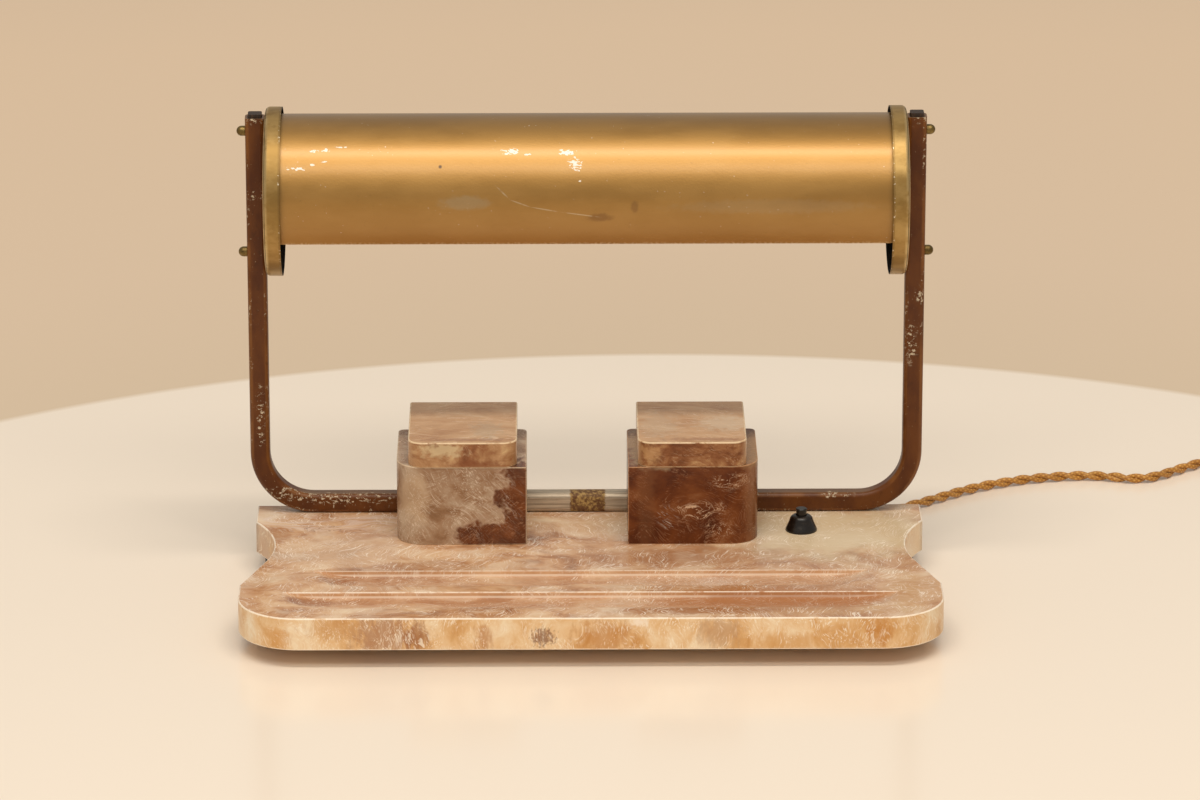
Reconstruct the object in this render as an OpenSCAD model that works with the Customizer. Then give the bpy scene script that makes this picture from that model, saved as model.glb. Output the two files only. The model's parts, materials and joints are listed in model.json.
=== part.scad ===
// Desk lamp with a turning brass tube shade and two inkwells on a stone base.
// Millimetres. X runs to the right, Y away from the writer, Z up.
// The origin is on the table, in the middle of the box round the lamp without its cord.

/* [Base] */
// Width of the stone base across its front part
base_w = 420; // [404:1:440]
// Width of the base along its rear edge
base_rear_w = 410; // [400:1:418]
// Width between the hollows in the two sides
base_waist_w = 384; // [378:1:392]
// Depth of the base from front to rear
base_d = 206; // [202:1:225]
// Thickness of the stone
base_t = 20; // [19:0.5:28]
// How far the base's middle sits to the right of the bracket's middle
base_shift = 1.8; // [0:0.1:2.4]
// Radius of the two front corners
front_corner_r = 37; // [25:1:45]
// Radius of the hollow in each side
hollow_r = 88; // [78:1:105]
// Distance of each hollow's middle from the rear edge
hollow_y = 77; // [72:1:84]
// Distance from the rear edge to the start of the slanted side
slant_start_y = 98; // [92:1:106]
// Distance from the rear edge to the end of the slanted side
slant_end_y = 146; // [135:1:155]
// Height of the rubber feet
foot_h = 11.5; // [8:0.5:14]
// Diameter of the rubber feet
foot_dia = 20; // [14:1:22]
// Sideways distance between the feet
foot_span = 380; // [370:1:384]
// Distance of the rear feet from the rear edge
foot_rear_y = 25; // [16:1:30]
// Distance of the front feet from the front edge
foot_front_y = 50; // [42:1:60]

/* [Pen grooves] */
// Distance from the rear edge to the wall of the first groove
groove_1_y = 121.5; // [112:0.5:128]
// Distance from the rear edge to the wall of the second groove
groove_2_y = 160; // [158:0.5:166]
// Overall length of the first groove
groove_1_len = 334; // [250:1:350]
// Overall length of the second groove
groove_2_len = 368; // [280:1:380]
// Width of each groove from its wall to its front edge
groove_w = 28.8; // [20:0.2:34]
// Depth of each groove at the foot of its wall
groove_depth = 3.8; // [2:0.1:5]
// Radius of the wheel that cut the grooves and left their run-outs
cutter_r = 100; // [60:1:140]

/* [Bracket] */
// Side of the square steel tube
tube_s = 12; // [11:0.5:13]
// Wall of the tube
tube_wall = 1.5; // [1:0.1:1.7]
// Outer corner radius of the tube
tube_corner_r = 3; // [2:0.25:3.5]
// Width across the two uprights
bracket_w = 413.6; // [405:0.2:416]
// Radius of the two bends along the middle of the tube
bend_r = 33; // [20:1:40]
// Distance from the base's rear edge to the tube
tube_inset = 3; // [1:0.5:5]
// Height of the uprights above the axis of the shade
upright_over = 47; // [44:0.5:60]
// How far each arm reaches into the inkwell block that hides its end
arm_in_block = 25; // [18:1:30]
// Length of the crossbar's plug inside each arm
joiner_len = 15; // [10:1:18]
// Side of the plugs' heads at the tops of the uprights
top_plug_s = 8.4; // [7.5:0.1:8.6]
// How far those plugs stand proud
top_plug_proud = 2.4; // [1:0.2:4]

/* [Shade and end caps] */
// Height of the shade's axis above the top of the base
axis_h = 205.3; // [190:0.1:230]
// Outer diameter of the shade
shade_dia = 94.4; // [90:0.2:95.6]
// Sheet thickness of the shade
shade_t = 0.8; // [0.6:0.1:1.2]
// Angle of the opening along the underside of the shade
shade_gap_angle = 126; // [100:1:150]
// Thickness of the turned-out edge at each end of the shade
flange_t = 1; // [0.6:0.1:1.5]
// Outer diameter of the end caps
cap_dia = 103; // [102:0.2:108]
// Depth of the end caps
cap_depth = 10.2; // [8:0.2:14]
// Sheet thickness of the end caps
cap_t = 0.9; // [0.7:0.1:1.2]
// Radius round the outer edge of the end caps
cap_edge_r = 3; // [1.5:0.25:4]
// Distance of the cap screws above and below the axis
cap_screw_z = 38.2; // [30:0.2:40]
// Diameter of the cap screws
cap_screw_dia = 3; // [2.5:0.1:3.2]
// Diameter of the domed nuts
dome_dia = 6.2; // [5.4:0.1:7]
// Length of the straight part of the domed nuts
dome_straight = 2.2; // [1.5:0.1:3]

/* [Lampholders and bulbs] */
// Outer diameter of the lampholders
holder_dia = 26; // [22:0.5:30]
// Length of the lampholders
holder_len = 34; // [32:1:44]
// Outer diameter of the threaded nipple behind each lampholder
nipple_dia = 10; // [9.4:0.1:10.2]
// Bore of the nipple
nipple_bore = 7.6; // [7.6:0.1:8]
// Diameter of the bulbs' screw caps
bulb_cap_dia = 13.8; // [13:0.1:14.2]
// Length of the bulbs' screw caps
bulb_cap_len = 22; // [18:0.1:24]
// Diameter of the bulbs' glass
bulb_dia = 25; // [20:0.5:28]
// Length of the bulbs' glass
bulb_len = 84; // [60:1:110]
// Thickness of the bulbs' glass
bulb_glass_t = 0.8; // [0.6:0.1:1.2]

/* [Inkwells] */
// Width of each stone inkwell block
block_w = 79.2; // [76:0.2:84]
// Depth of each block
block_d = 74.7; // [72:0.1:80]
// Height of each block
block_h = 49.6; // [44:0.1:60]
// Gap between the two blocks
block_gap = 61.6; // [56:0.2:70]
// How far the middle of the two blocks sits from the bracket's middle
block_shift = -5.8; // [-8:0.1:0]
// Radius of each block's outer front corner
block_corner_r = 17; // [10:0.5:20]
// Radius of the blocks' rear corners
block_rear_r = 4; // [1:0.5:8]
// Width of the lids
lid_w = 66.2; // [60:0.2:70]
// Depth of the lids
lid_d = 81; // [76:0.5:84]
// Thickness of the lids
lid_h = 15.8; // [12:0.1:20]
// Radius of the lids' front corners
lid_front_r = 9; // [4:0.5:12]
// Radius of the lids' rear corners
lid_rear_r = 1.5; // [1:0.5:8]
// How far the lids stand in front of the blocks
lid_front = 0.5; // [0:0.1:2]
// How far each lid's middle sits inwards from the middle of its block
lid_shift = 0.7; // [0:0.1:2]
// Diameter of the glass ink pots
pot_dia = 41.2; // [36:0.2:43]
// Height of the ink pots
pot_h = 34; // [28:0.5:36]
// Wall of the ink pots
pot_wall = 2; // [1.5:0.1:3]
// Distance of each pot's middle from the rear of its block
pot_y = 42; // [40:0.5:44]
// Length of the round step under each lid
lid_step_h = 3; // [2:0.1:5]

/* [Screws under the base] */
// Diameter of the screws that hold the blocks
block_screw_dia = 4.8; // [4:0.1:5.2]
// Sideways distance of those screws from each pot's middle
block_screw_x = 30; // [29:0.5:31]
// Distance of those screws from the rear edge
block_screw_y = 54; // [53:0.5:55]
// Diameter of the brass inserts in the blocks
insert_dia = 8; // [7:0.1:9]
// Length of the brass inserts
insert_len = 12; // [10:0.5:14]
// Diameter of the screws that hold the arms
arm_screw_dia = 3.9; // [3:0.1:4.4]
// Sideways distance of the arm screws from the bracket's middle
arm_screw_x = 130; // [126:1:140]
// Depth of the holes that take the screw heads
head_hole_depth = 8; // [7:0.5:10]
// Diameter of the holes that take the screw heads
head_hole_dia = 13; // [12.4:0.2:14]

/* [Switch] */
// Sideways place of the push switch from the base's middle
switch_x = 129.7; // [126:0.1:140]
// Distance of the push switch from the rear edge
switch_y = 48.7; // [48.5:0.1:54]
// Diameter of the collar's foot
collar_dia = 19.2; // [17:0.2:22]
// Height of the collar
collar_h = 10; // [9:0.5:12]
// Diameter of the button's head
button_dia = 7; // [6.8:0.1:7.6]
// Diameter of the button's stem
button_stem_dia = 6.4; // [5.8:0.1:6.6]
// How far the button stands above the collar
button_proud = 4.2; // [4:0.1:6]
// Travel of the button
button_travel = 2.5; // [1.5:0.1:2.6]
// Diameter of the switch body under the base
switch_body_dia = 22; // [19:0.5:22.5]
// Turns of the spring under the button
spring_turns = 5; // [4:1:6]

/* [Wiring] */
// Diameter of the twisted mains cord
cord_dia = 6.2; // [5.8:0.1:6.4]
// Sideways place of the cord's outlet from the base's middle
outlet_x = 165.2; // [164.8:0.1:165.6]
// Height of the wires above the underside of the base
wire_z = 9; // [8.6:0.1:9.4]
// Diameter of the leads inside the lamp
lead_dia = 2; // [1.6:0.1:2.1]
// Diameter of the plug
plug_dia = 30; // [27:1:34]
// Length of the plug's body
plug_len = 40; // [36:1:46]
// Diameter of the plug's pins
pin_dia = 4.8; // [4:0.1:5]
// Length of the plug's pins
pin_len = 19; // [17:0.5:20]
// Distance between the plug's pins
pin_gap = 19; // [17:0.5:19.5]

/* [Hidden] */

$fn = 64;

// Gap between pieces that move past each other, and round loose pieces
gap = 0.3;
// Gap on each side of a screw, a pressed plug or a sliding stem
fit = 0.05;
// Overshoot of a cut past the face that it opens
over = 1;

// Heights
top_z = foot_h + base_t;
tube_z = top_z + tube_s / 2;
axis_z = top_z + axis_h;
upright_top_z = axis_z + upright_over;
wire_level = foot_h + wire_z;
blocks_top_z = top_z + block_h;

// Places from front to rear. The box round the lamp reaches from the base's front edge
// to the rear of the end caps, and its middle is at zero.
tube_back = tube_inset + tube_s / 2;
rear_y = (base_d - (cap_dia / 2 - tube_back)) / 2;
axis_y = rear_y - tube_back;

// Places along the bracket
arm_x = (bracket_w - tube_s) / 2;
bend_x = arm_x - bend_r;
tube_in = tube_s - 2 * tube_wall;
tube_in_r = max(tube_corner_r - tube_wall, 0.3);
cap_face_x = bracket_w / 2 - tube_s;
cap_floor_x = cap_face_x - cap_t;
cap_mouth_x = cap_face_x - cap_depth;
joint_offset = block_gap / 2 + arm_in_block;
wire_hole_in = joiner_len + 8;
lead_aside = cap_screw_dia / 2 + lead_dia / 2 + 2 * fit;
wire_hole_r = lead_aside + lead_dia / 2 + gap;
lead_bend = 8;
lead_end_bend = 5;

// Shade
shade_r = shade_dia / 2;
flange_r = cap_dia / 2 - cap_t - gap;
shade_end_x = cap_floor_x - (cap_edge_r - cap_t) - gap;
shade_angle = 360 - shade_gap_angle;

// Inkwells
block_x = (block_gap + block_w) / 2;
well_r = pot_dia / 2 + gap;
well_depth = pot_h + gap;
lid_step_r = pot_dia / 2 - pot_wall - gap;
pot_floor = 3;

// Screws under the base
washer_t = 1;
washer_r = head_hole_dia / 2 - 0.5;
head_h = 3;
head_top_z = foot_h + head_hole_depth - washer_t;
arm_nut_h = 2.4;
arm_nut_len = tube_in - 1;
arm_nut_w = tube_in - 2 * tube_in_r;

// Channel under the base, and what lies in it
channel_depth = wire_z + cord_dia / 2 + 0.4;
channel_rear = 26;
channel_front = 44;
link_w = 10;
cord_clear = 0.2;
tail_back = 33.5;
tail_bend = 14;
lamp_lead_back = 28.6;
switch_lead_back = 41;
terminal_x = 15;
terminal_back = 35;
terminal_len = 30;
terminal_w = 16;
terminal_h = 10;
terminal_step = 11;
terminal_side = 4.5;
terminal_screw_r = 1.6;
wiring_screw_r = 1.5;
wiring_head_r = 2.6;
wiring_head_h = 2;
clamp_back = 16.5;
clamp_len = 26;
clamp_w = 6;
clamp_screw_x = 9;
bush_depth = 12;
bush_wall = 2;
bush_flange_r = cord_dia / 2 + 4.4;
bush_flange_t = 1.5;
bush_r = cord_dia / 2 + cord_clear + bush_wall;

// Lampholders and bulbs, measured inwards from the floor of each end cap
nut_t = 3;
nut_across = 14;
boss_end = nut_t + 6;
socket_floor = nut_t + holder_len - bulb_cap_len - gap;
holder_mouth = nut_t + holder_len;
socket_r = bulb_cap_dia / 2 + gap;
nipple_in = boss_end + 1;
nipple_out = cap_t + tube_wall + 0.7;
bulb_neck_r = bulb_cap_dia / 2;
bulb_neck_len = 9;
filament_len = bulb_len * 0.6;

// Switch
neck_r = 4.9;
neck_top_z = top_z + collar_h - 1.6;
switch_pocket_depth = 13;
switch_body_h = 11;
switch_body_top_z = foot_h + switch_pocket_depth;
button_lip_h = 0.9;
spring_wire_r = 0.3;
pressed_pitch = 1.1;
stem_bottom_z = switch_body_top_z - 1;
spring_bottom_z = stem_bottom_z - button_travel - spring_turns * pressed_pitch;
spring_r = button_stem_dia / 2 - 0.8;

// Plug
plug_base_len = 15;
plug_neck_r = 7;
plug_grip = 6;
pin_root_len = plug_base_len - 3;
pin_step = 1.2;

// Route of the mains cord over the table, from the outlet to the coil
cord_r = cord_dia / 2;
cord_sides = 8;
run_points = [
  [167, 83.25, 20.5], [167, 90, 20.3], [167, 98, 19], [168.5, 109, 15.2], [172, 120.5, 10.3],
  [177.5, 131.5, 6.2], [185, 141, 3.9], [193.5, 149.5, 3.2], [202.5, 157.5, 3.2], [211.5, 165, 3.2],
  [222, 173.5, 3.2], [233, 183, 3.2], [244.5, 192, 3.2], [256.5, 200, 3.2], [269.5, 206.5, 3.2],
  [283, 212, 3.2], [297, 216, 3.2], [311, 218.5, 3.2], [325, 219, 3.2], [337, 217, 3.2],
  [349.5, 213.5, 3.2], [362, 215, 3.2], [373.5, 223, 3.2], [384, 232.5, 3.2], [395.5, 242, 3.3],
  [407.5, 251, 3.6], [420, 260, 3.9], [427, 265.2, 4], [433, 269.5, 4]
];

// The coil: turns that wind in on the table and out again on top of themselves
coil_turns = 6.35;
coil_r = 45.65;
coil_pitch = 6.8;
coil_start_angle = 126;
coil_rings = 24;
coil_sides = 6;
coil_end_points = [
  [0, 0, 0], [0, -7, 0.2], [0, -14, 0.8], [0, -21, 2], [0, -28, 3.2], [0, -35, 4], [0, -42, 4.2]
];
tie_w = 10;
tie_t = 0.6;
tie_angle = -60;

// Colours
stone = [0.78, 0.62, 0.46];
stone_dark = [0.46, 0.25, 0.15];
lacquer = [0.38, 0.20, 0.10];
gold = [0.77, 0.60, 0.30];
old_brass = [0.66, 0.56, 0.33];
bakelite = [0.09, 0.08, 0.08];
steel = [0.62, 0.61, 0.58];
silk = [0.72, 0.53, 0.25];

// Moves a piece to a place on the base, given from the bracket's middle and the rear edge
module from_rear(x, back, z) {
  translate([x, rear_y - back, z])
    children();
}

// Puts what is drawn for the right side on the side that is asked for
module on_side(side) {
  mirror([side < 0 ? 1 : 0, 0, 0])
    children();
}

// Turns an outline of [radius, place] about a line along X through the shade's axis
module turned_on_axis(side) {
  on_side(side)
    translate([cap_floor_x, axis_y, axis_z])
      rotate([0, -90, 0])
        rotate_extrude()
          children();
}

// Where the middle of each block and the inner end of each arm lie, counted outwards
function block_out(side) = block_x + side * block_shift;
function arm_end_out(side) = joint_offset + side * block_shift;

// Square with round corners, centred
module rounded_square(side, r) {
  square([side - 2 * r, side], center = true);
  square([side, side - 2 * r], center = true);
  for (x = [-1, 1], y = [-1, 1])
    translate([x, y] * (side / 2 - r))
      circle(r);
}

// Plate outline with its rear edge on the X axis and its corners rounded
module plate_outline(w, d, front_left_r, front_right_r, rear_r) {
  longest = max(front_left_r, front_right_r);
  translate([-w / 2, -d + longest])
    square([w, d - longest - rear_r]);
  translate([-w / 2 + front_left_r, -d])
    square([w - front_left_r - front_right_r, longest + over]);
  translate([-w / 2, -d + front_left_r])
    square([front_left_r + over, longest - front_left_r + over]);
  translate([w / 2 - front_right_r - over, -d + front_right_r])
    square([front_right_r + over, longest - front_right_r + over]);
  if (rear_r > 0) {
    translate([-w / 2 + rear_r, -rear_r - over])
      square([w - 2 * rear_r, rear_r + over]);
    for (x = [-1, 1])
      translate([x * (w / 2 - rear_r), -rear_r])
        circle(rear_r);
  }
  if (front_left_r > 0)
    translate([-w / 2 + front_left_r, -d + front_left_r])
      circle(front_left_r);
  translate([w / 2 - front_right_r, -d + front_right_r])
    circle(front_right_r);
}

// Round wire along straight stretches, with an equal bend at each corner
function direction(a, b) = (b - a) / norm(b - a);

module wire_piece(a, b, r) {
  d = direction(a, b);
  u = direction([0, 0, 0], cross(d, abs(d[2]) > 0.5 ? [1, 0, 0] : [0, 0, 1]));
  v = cross(d, u);
  multmatrix([
    [u[0], v[0], d[0], a[0]],
    [u[1], v[1], d[1], a[1]],
    [u[2], v[2], d[2], a[2]],
    [0, 0, 0, 1]
  ])
    cylinder(h = norm(b - a), r = r);
}

// Angle that a wire turns through at a corner, and how far from the corner its bend starts
function turn_angle(a, corner, b) = acos(direction(a, corner) * direction(corner, b));
function bend_reach(a, corner, b, bend) = bend * tan(turn_angle(a, corner, b) / 2);

module wire_bend(a, corner, b, r, bend) {
  into = direction(a, corner);
  out = direction(corner, b);
  inwards = direction([0, 0, 0], out - (out * into) * into);
  n = cross(into, inwards);
  c = corner - into * bend_reach(a, corner, b, bend) + inwards * bend;
  multmatrix([
    [-inwards[0], into[0], n[0], c[0]],
    [-inwards[1], into[1], n[1], c[1]],
    [-inwards[2], into[2], n[2], c[2]],
    [0, 0, 0, 1]
  ])
    rotate_extrude(angle = turn_angle(a, corner, b))
      translate([bend, 0])
        circle(r);
}

module bent_wire(points, bends, r) {
  last = len(points) - 1;
  reach = [
    0,
    for (i = [1 : last - 1]) bend_reach(points[i - 1], points[i], points[i + 1], bends[i - 1]),
    0
  ];
  for (i = [0 : last - 1]) {
    d = direction(points[i], points[i + 1]);
    wire_piece(points[i] + d * reach[i], points[i + 1] - d * reach[i + 1], r);
  }
  for (i = [1 : last - 1])
    wire_bend(points[i - 1], points[i], points[i + 1], r, bends[i - 1]);
}

// Tube swept along a list of points, as one polyhedron of triangles
function tangent(path, i) = direction(path[max(i - 1, 0)], path[min(i + 1, len(path) - 1)]);

function tube_ring(path, i, r, sides) =
  let (t = tangent(path, i), s = direction([0, 0, 0], cross(t, [0, 0, 1])), u = cross(s, t))
    [for (k = [0 : sides - 1]) path[i] + r * (cos(360 * k / sides) * s + sin(360 * k / sides) * u)];

module swept_tube(path, r, sides) {
  rings = len(path);
  last = (rings - 1) * sides;
  points = [for (i = [0 : rings - 1]) each tube_ring(path, i, r, sides)];
  walls = [
    for (i = [0 : rings - 2], k = [0 : sides - 1])
      let (a = i * sides + k, b = i * sides + (k + 1) % sides)
        each [[a, a + sides, b], [b, a + sides, b + sides]]
  ];
  start = [for (k = [1 : sides - 2]) [0, k, k + 1]];
  end = [for (k = [1 : sides - 2]) [last, last + k + 1, last + k]];
  polyhedron(points = points, faces = concat(walls, start, end), convexity = 10);
}

// The stone base

module base_outline() {
  half_front = base_w / 2;
  hollow_x = base_waist_w / 2 + hollow_r;
  half_slant = hollow_x - sqrt(pow(hollow_r, 2) - pow(slant_start_y - hollow_y, 2));
  corner_y = base_d - front_corner_r;
  difference() {
    translate([-base_rear_w / 2, -slant_start_y])
      square([base_rear_w, slant_start_y]);
    for (x = [-1, 1])
      translate([x * hollow_x, -hollow_y])
        circle(hollow_r, $fn = 128);
  }
  polygon([
    [-half_slant, -slant_start_y], [half_slant, -slant_start_y],
    [half_front, -slant_end_y], [half_front, -corner_y],
    [-half_front, -corner_y], [-half_front, -slant_end_y]
  ]);
  translate([-half_front + front_corner_r, -base_d])
    square([base_w - 2 * front_corner_r, front_corner_r + over]);
  for (x = [-1, 1])
    translate([x * (half_front - front_corner_r), -corner_y])
      circle(front_corner_r);
}

// A pen groove has a square wall at the rear and a hollow floor that rises to the front.
// Its ends run out as the cutting wheel lifts.
module pen_groove(wall_back, length) {
  steps = 6;
  inner_r = cutter_r - groove_depth - over;
  run_out = acos((cutter_r - groove_depth) / cutter_r);
  half = length / 2 - cutter_r * sin(run_out);
  floor_points = [for (i = [0 : steps]) [groove_depth * pow(i / steps, 2), groove_w * i / steps]];
  from_rear(base_shift, wall_back, top_z - groove_depth) {
    translate([-half, 0, 0])
      rotate([90, 0, 90])
        linear_extrude(2 * half)
          polygon(concat(
            [[0, groove_depth + over]],
            [for (p = floor_points) [-p[1], p[0]]],
            [[-groove_w, groove_depth + over]]
          ));
    for (side = [-1, 1])
      on_side(side)
        translate([half, 0, cutter_r])
          rotate([90, 0, 0])
            rotate([0, 0, -90])
              rotate_extrude(angle = run_out + 4, $fn = 128)
                polygon(concat(
                  [[inner_r, 0]],
                  [for (p = floor_points) [cutter_r - p[0], p[1]]],
                  [[inner_r, groove_w]]
                ));
  }
}

// Hole from below for a screw and its head
module screw_hole(screw_dia) {
  translate([0, 0, foot_h - over])
    cylinder(h = head_hole_depth + over, d = head_hole_dia);
  translate([0, 0, foot_h])
    cylinder(h = base_t + over, d = screw_dia + 4 * fit);
}

// Channel under the base between two places across it
module channel(from_x, to_x, back_1, back_2) {
  from_rear(from_x, back_2, foot_h - over)
    cube([to_x - from_x, back_2 - back_1, channel_depth + over]);
}

module base_slab() {
  right_wire = arm_end_out(1) + wire_hole_in;
  left_wire = arm_end_out(-1) + wire_hole_in;
  outlet = base_shift + outlet_x;
  switch_out = base_shift + switch_x;
  color(stone)
    difference() {
      from_rear(base_shift, 0, foot_h)
        linear_extrude(base_t)
          base_outline();
      pen_groove(groove_1_y, groove_1_len);
      pen_groove(groove_2_y, groove_2_len);
      channel(-left_wire - link_w / 2, outlet + link_w / 2, channel_rear, channel_front);
      for (x = [-left_wire, right_wire]) {
        channel(x - link_w / 2, x + link_w / 2, tube_back - link_w / 2, channel_front);
        from_rear(x, tube_back, foot_h)
          cylinder(h = base_t + over, r = wire_hole_r);
      }
      channel(outlet - clamp_len / 2 - over, outlet + clamp_len / 2 + over, bush_depth, channel_front);
      from_rear(outlet, -over, wire_level)
        rotate([90, 0, 0])
          cylinder(h = bush_depth + 2 * over, r = bush_r + fit);
      for (x = [-1, 1])
        from_rear(outlet + x * clamp_screw_x, clamp_back, foot_h)
          cylinder(h = channel_depth + 4, r = wiring_screw_r + fit);
      from_rear(terminal_x, terminal_back, foot_h)
        cylinder(h = channel_depth + 4, r = wiring_screw_r + fit);
      from_rear(switch_out, switch_y, foot_h - over)
        cylinder(h = switch_pocket_depth + over, d = switch_body_dia + 4);
      from_rear(switch_out, switch_y, foot_h)
        cylinder(h = base_t + over, r = neck_r + gap);
      for (side = [-1, 1]) {
        for (x = [-1, 1])
          from_rear(side * block_out(side) + x * block_screw_x, block_screw_y, 0)
            screw_hole(block_screw_dia);
        from_rear(side * arm_screw_x, tube_back, 0)
          screw_hole(arm_screw_dia);
      }
    }
}

module base_feet() {
  color("dimgray")
    for (x = [-1, 1], back = [foot_rear_y, base_d - foot_front_y])
      from_rear(base_shift + x * foot_span / 2, back, 0)
        cylinder(h = foot_h, d = foot_dia);
}

// The bracket

module tube_section() {
  difference() {
    rounded_square(tube_s, tube_corner_r);
    rounded_square(tube_in, tube_in_r);
  }
}

module arm(side) {
  end_x = arm_end_out(side);
  color(lacquer)
    on_side(side)
      difference() {
        union() {
          translate([end_x, axis_y, tube_z])
            rotate([90, 0, 90])
              linear_extrude(bend_x - end_x)
                tube_section();
          translate([bend_x, axis_y, tube_z + bend_r])
            rotate([90, 0, 0])
              rotate([0, 0, -90])
                rotate_extrude(angle = 90)
                  translate([bend_r, 0])
                    tube_section();
          translate([arm_x, axis_y, tube_z + bend_r])
            linear_extrude(upright_top_z - tube_z - bend_r)
              tube_section();
        }
        for (z = [-1, 1])
          translate([cap_face_x - over, axis_y, axis_z + z * cap_screw_z])
            rotate([0, 90, 0])
              cylinder(h = tube_s + 2 * over, d = cap_screw_dia + 2 * fit);
        translate([cap_face_x - over, axis_y, axis_z])
          rotate([0, 90, 0])
            cylinder(h = tube_wall + 2 * over, d = nipple_dia + 2 * fit);
        translate([end_x + wire_hole_in, axis_y, top_z - over])
          cylinder(h = tube_wall + 2 * over, r = wire_hole_r);
        translate([arm_screw_x, axis_y, top_z - over])
          cylinder(h = tube_wall + 2 * over, d = arm_screw_dia + 4 * fit);
      }
}

module left_arm() {
  arm(-1);
}

module right_arm() {
  arm(1);
}

module crossbar() {
  left_end = -arm_end_out(-1);
  right_end = arm_end_out(1);
  color(steel)
    translate([0, axis_y, tube_z])
      rotate([90, 0, 90]) {
        translate([0, 0, left_end])
          linear_extrude(right_end - left_end)
            rounded_square(tube_s, tube_corner_r);
        translate([0, 0, left_end - joiner_len])
          linear_extrude(right_end - left_end + 2 * joiner_len)
            rounded_square(tube_in - 2 * fit, tube_in_r);
      }
}

module upright_plugs() {
  inside = upright_over - cap_screw_z - cap_screw_dia / 2 - over;
  color("black")
    for (side = [-1, 1])
      on_side(side)
        translate([arm_x, axis_y, upright_top_z - inside]) {
          linear_extrude(inside)
            rounded_square(tube_in - 2 * fit, tube_in_r);
          linear_extrude(inside + top_plug_proud)
            rounded_square(top_plug_s, tube_in_r);
        }
}

// The end caps and the shade

module cup_section(r, depth, edge) {
  square([r - edge, depth]);
  square([r, depth - edge]);
  translate([r - edge, depth - edge])
    circle(edge);
}

module end_cap(side) {
  color(old_brass)
    on_side(side)
      difference() {
        translate([cap_mouth_x, axis_y, axis_z])
          rotate([0, 90, 0])
            rotate_extrude($fn = 128)
              difference() {
                cup_section(cap_dia / 2, cap_depth, cap_edge_r);
                translate([0, -over])
                  cup_section(cap_dia / 2 - cap_t, cap_depth - cap_t + over, cap_edge_r - cap_t);
              }
        translate([cap_floor_x - over, axis_y, axis_z])
          rotate([0, 90, 0])
            cylinder(h = cap_t + 2 * over, d = nipple_dia + 2 * fit);
        for (z = [-1, 1])
          translate([cap_floor_x - over, axis_y, axis_z + z * cap_screw_z])
            rotate([0, 90, 0])
              cylinder(h = cap_t + 2 * over, d = cap_screw_dia + 2 * fit);
      }
}

module left_end_cap() {
  end_cap(-1);
}

module right_end_cap() {
  end_cap(1);
}

module at_cap_screws() {
  for (side = [-1, 1], z = [-1, 1])
    on_side(side)
      translate([0, axis_y, axis_z + z * cap_screw_z])
        rotate([0, 90, 0])
          children();
}

module cap_screws() {
  head = 2;
  color(steel)
    at_cap_screws()
      union() {
        translate([0, 0, cap_floor_x - head])
          cylinder(h = head, r = cap_screw_dia / 2 + 1.3);
        translate([0, 0, cap_floor_x - head])
          cylinder(h = head + cap_t + tube_s + dome_straight + 1, d = cap_screw_dia);
      }
}

module cap_dome_nuts() {
  r = dome_dia / 2;
  color(gold)
    at_cap_screws()
      translate([0, 0, bracket_w / 2])
        difference() {
          rotate_extrude()
            union() {
              square([r, dome_straight]);
              translate([0, dome_straight])
                intersection() {
                  circle(r);
                  square(r);
                }
            }
          translate([0, 0, -over])
            cylinder(h = dome_straight + 1.6 + over, d = cap_screw_dia + 2 * fit);
        }
}

module shade() {
  inner_r = shade_r - shade_t;
  end = shade_end_x;
  color(gold)
    translate([0, axis_y, axis_z])
      rotate([0, 90, 0])
        rotate([0, 0, 180 - shade_angle / 2])
          rotate_extrude(angle = shade_angle, $fn = 128)
            polygon([
              [inner_r, -end], [flange_r, -end], [flange_r, -end + flange_t], [shade_r, -end + flange_t],
              [shade_r, end - flange_t], [flange_r, end - flange_t], [flange_r, end], [inner_r, end]
            ]);
}

// The lampholders and bulbs. Their outlines are [radius, distance from the cap's floor].

module lampholder(side) {
  r = holder_dia / 2;
  boss_r = r - 5.5;
  neck = boss_end + 2;
  waist = 1.5;
  ring = 1.2;
  ring_start = holder_mouth - 9;
  ring_end = holder_mouth - 5;
  slope = 1;
  color(bakelite)
    turned_on_axis(side)
      polygon([
        [nipple_dia / 2 + fit, nut_t], [boss_r, nut_t], [boss_r, boss_end], [r - waist, neck],
        [r - waist, ring_start - slope], [r, ring_start], [r, ring_end],
        [r - ring, ring_end + slope], [r - ring, holder_mouth],
        [socket_r, holder_mouth], [socket_r, socket_floor], [nipple_bore / 2, socket_floor],
        [nipple_bore / 2, nipple_in], [nipple_dia / 2 + fit, nipple_in]
      ]);
}

module left_lampholder() {
  lampholder(-1);
}

module right_lampholder() {
  lampholder(1);
}

module holder_nipples() {
  color(gold)
    for (side = [-1, 1])
      turned_on_axis(side)
        translate([nipple_bore / 2, -nipple_out])
          square([(nipple_dia - nipple_bore) / 2, nipple_out + nipple_in]);
}

module nipple_nuts() {
  color(steel)
    for (side = [-1, 1])
      on_side(side)
        translate([cap_floor_x, axis_y, axis_z])
          rotate([0, -90, 0])
            difference() {
              cylinder(h = nut_t, r = nut_across / sqrt(3), $fn = 6);
              translate([0, 0, -over])
                cylinder(h = nut_t + 2 * over, d = nipple_dia + 2 * fit);
            }
}

// Outline of a tube bulb, smaller all round by the value given
module bulb_section(shrink) {
  r = bulb_dia / 2 - shrink;
  neck = bulb_neck_r - shrink;
  square([neck, bulb_neck_len]);
  polygon([[0, 2], [neck, 2], [r, bulb_neck_len], [0, bulb_neck_len]]);
  translate([0, bulb_neck_len])
    square([r, bulb_len - bulb_neck_len - bulb_dia / 2]);
  translate([0, bulb_len - bulb_dia / 2])
    intersection() {
      circle(r);
      square(r);
    }
}

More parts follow.
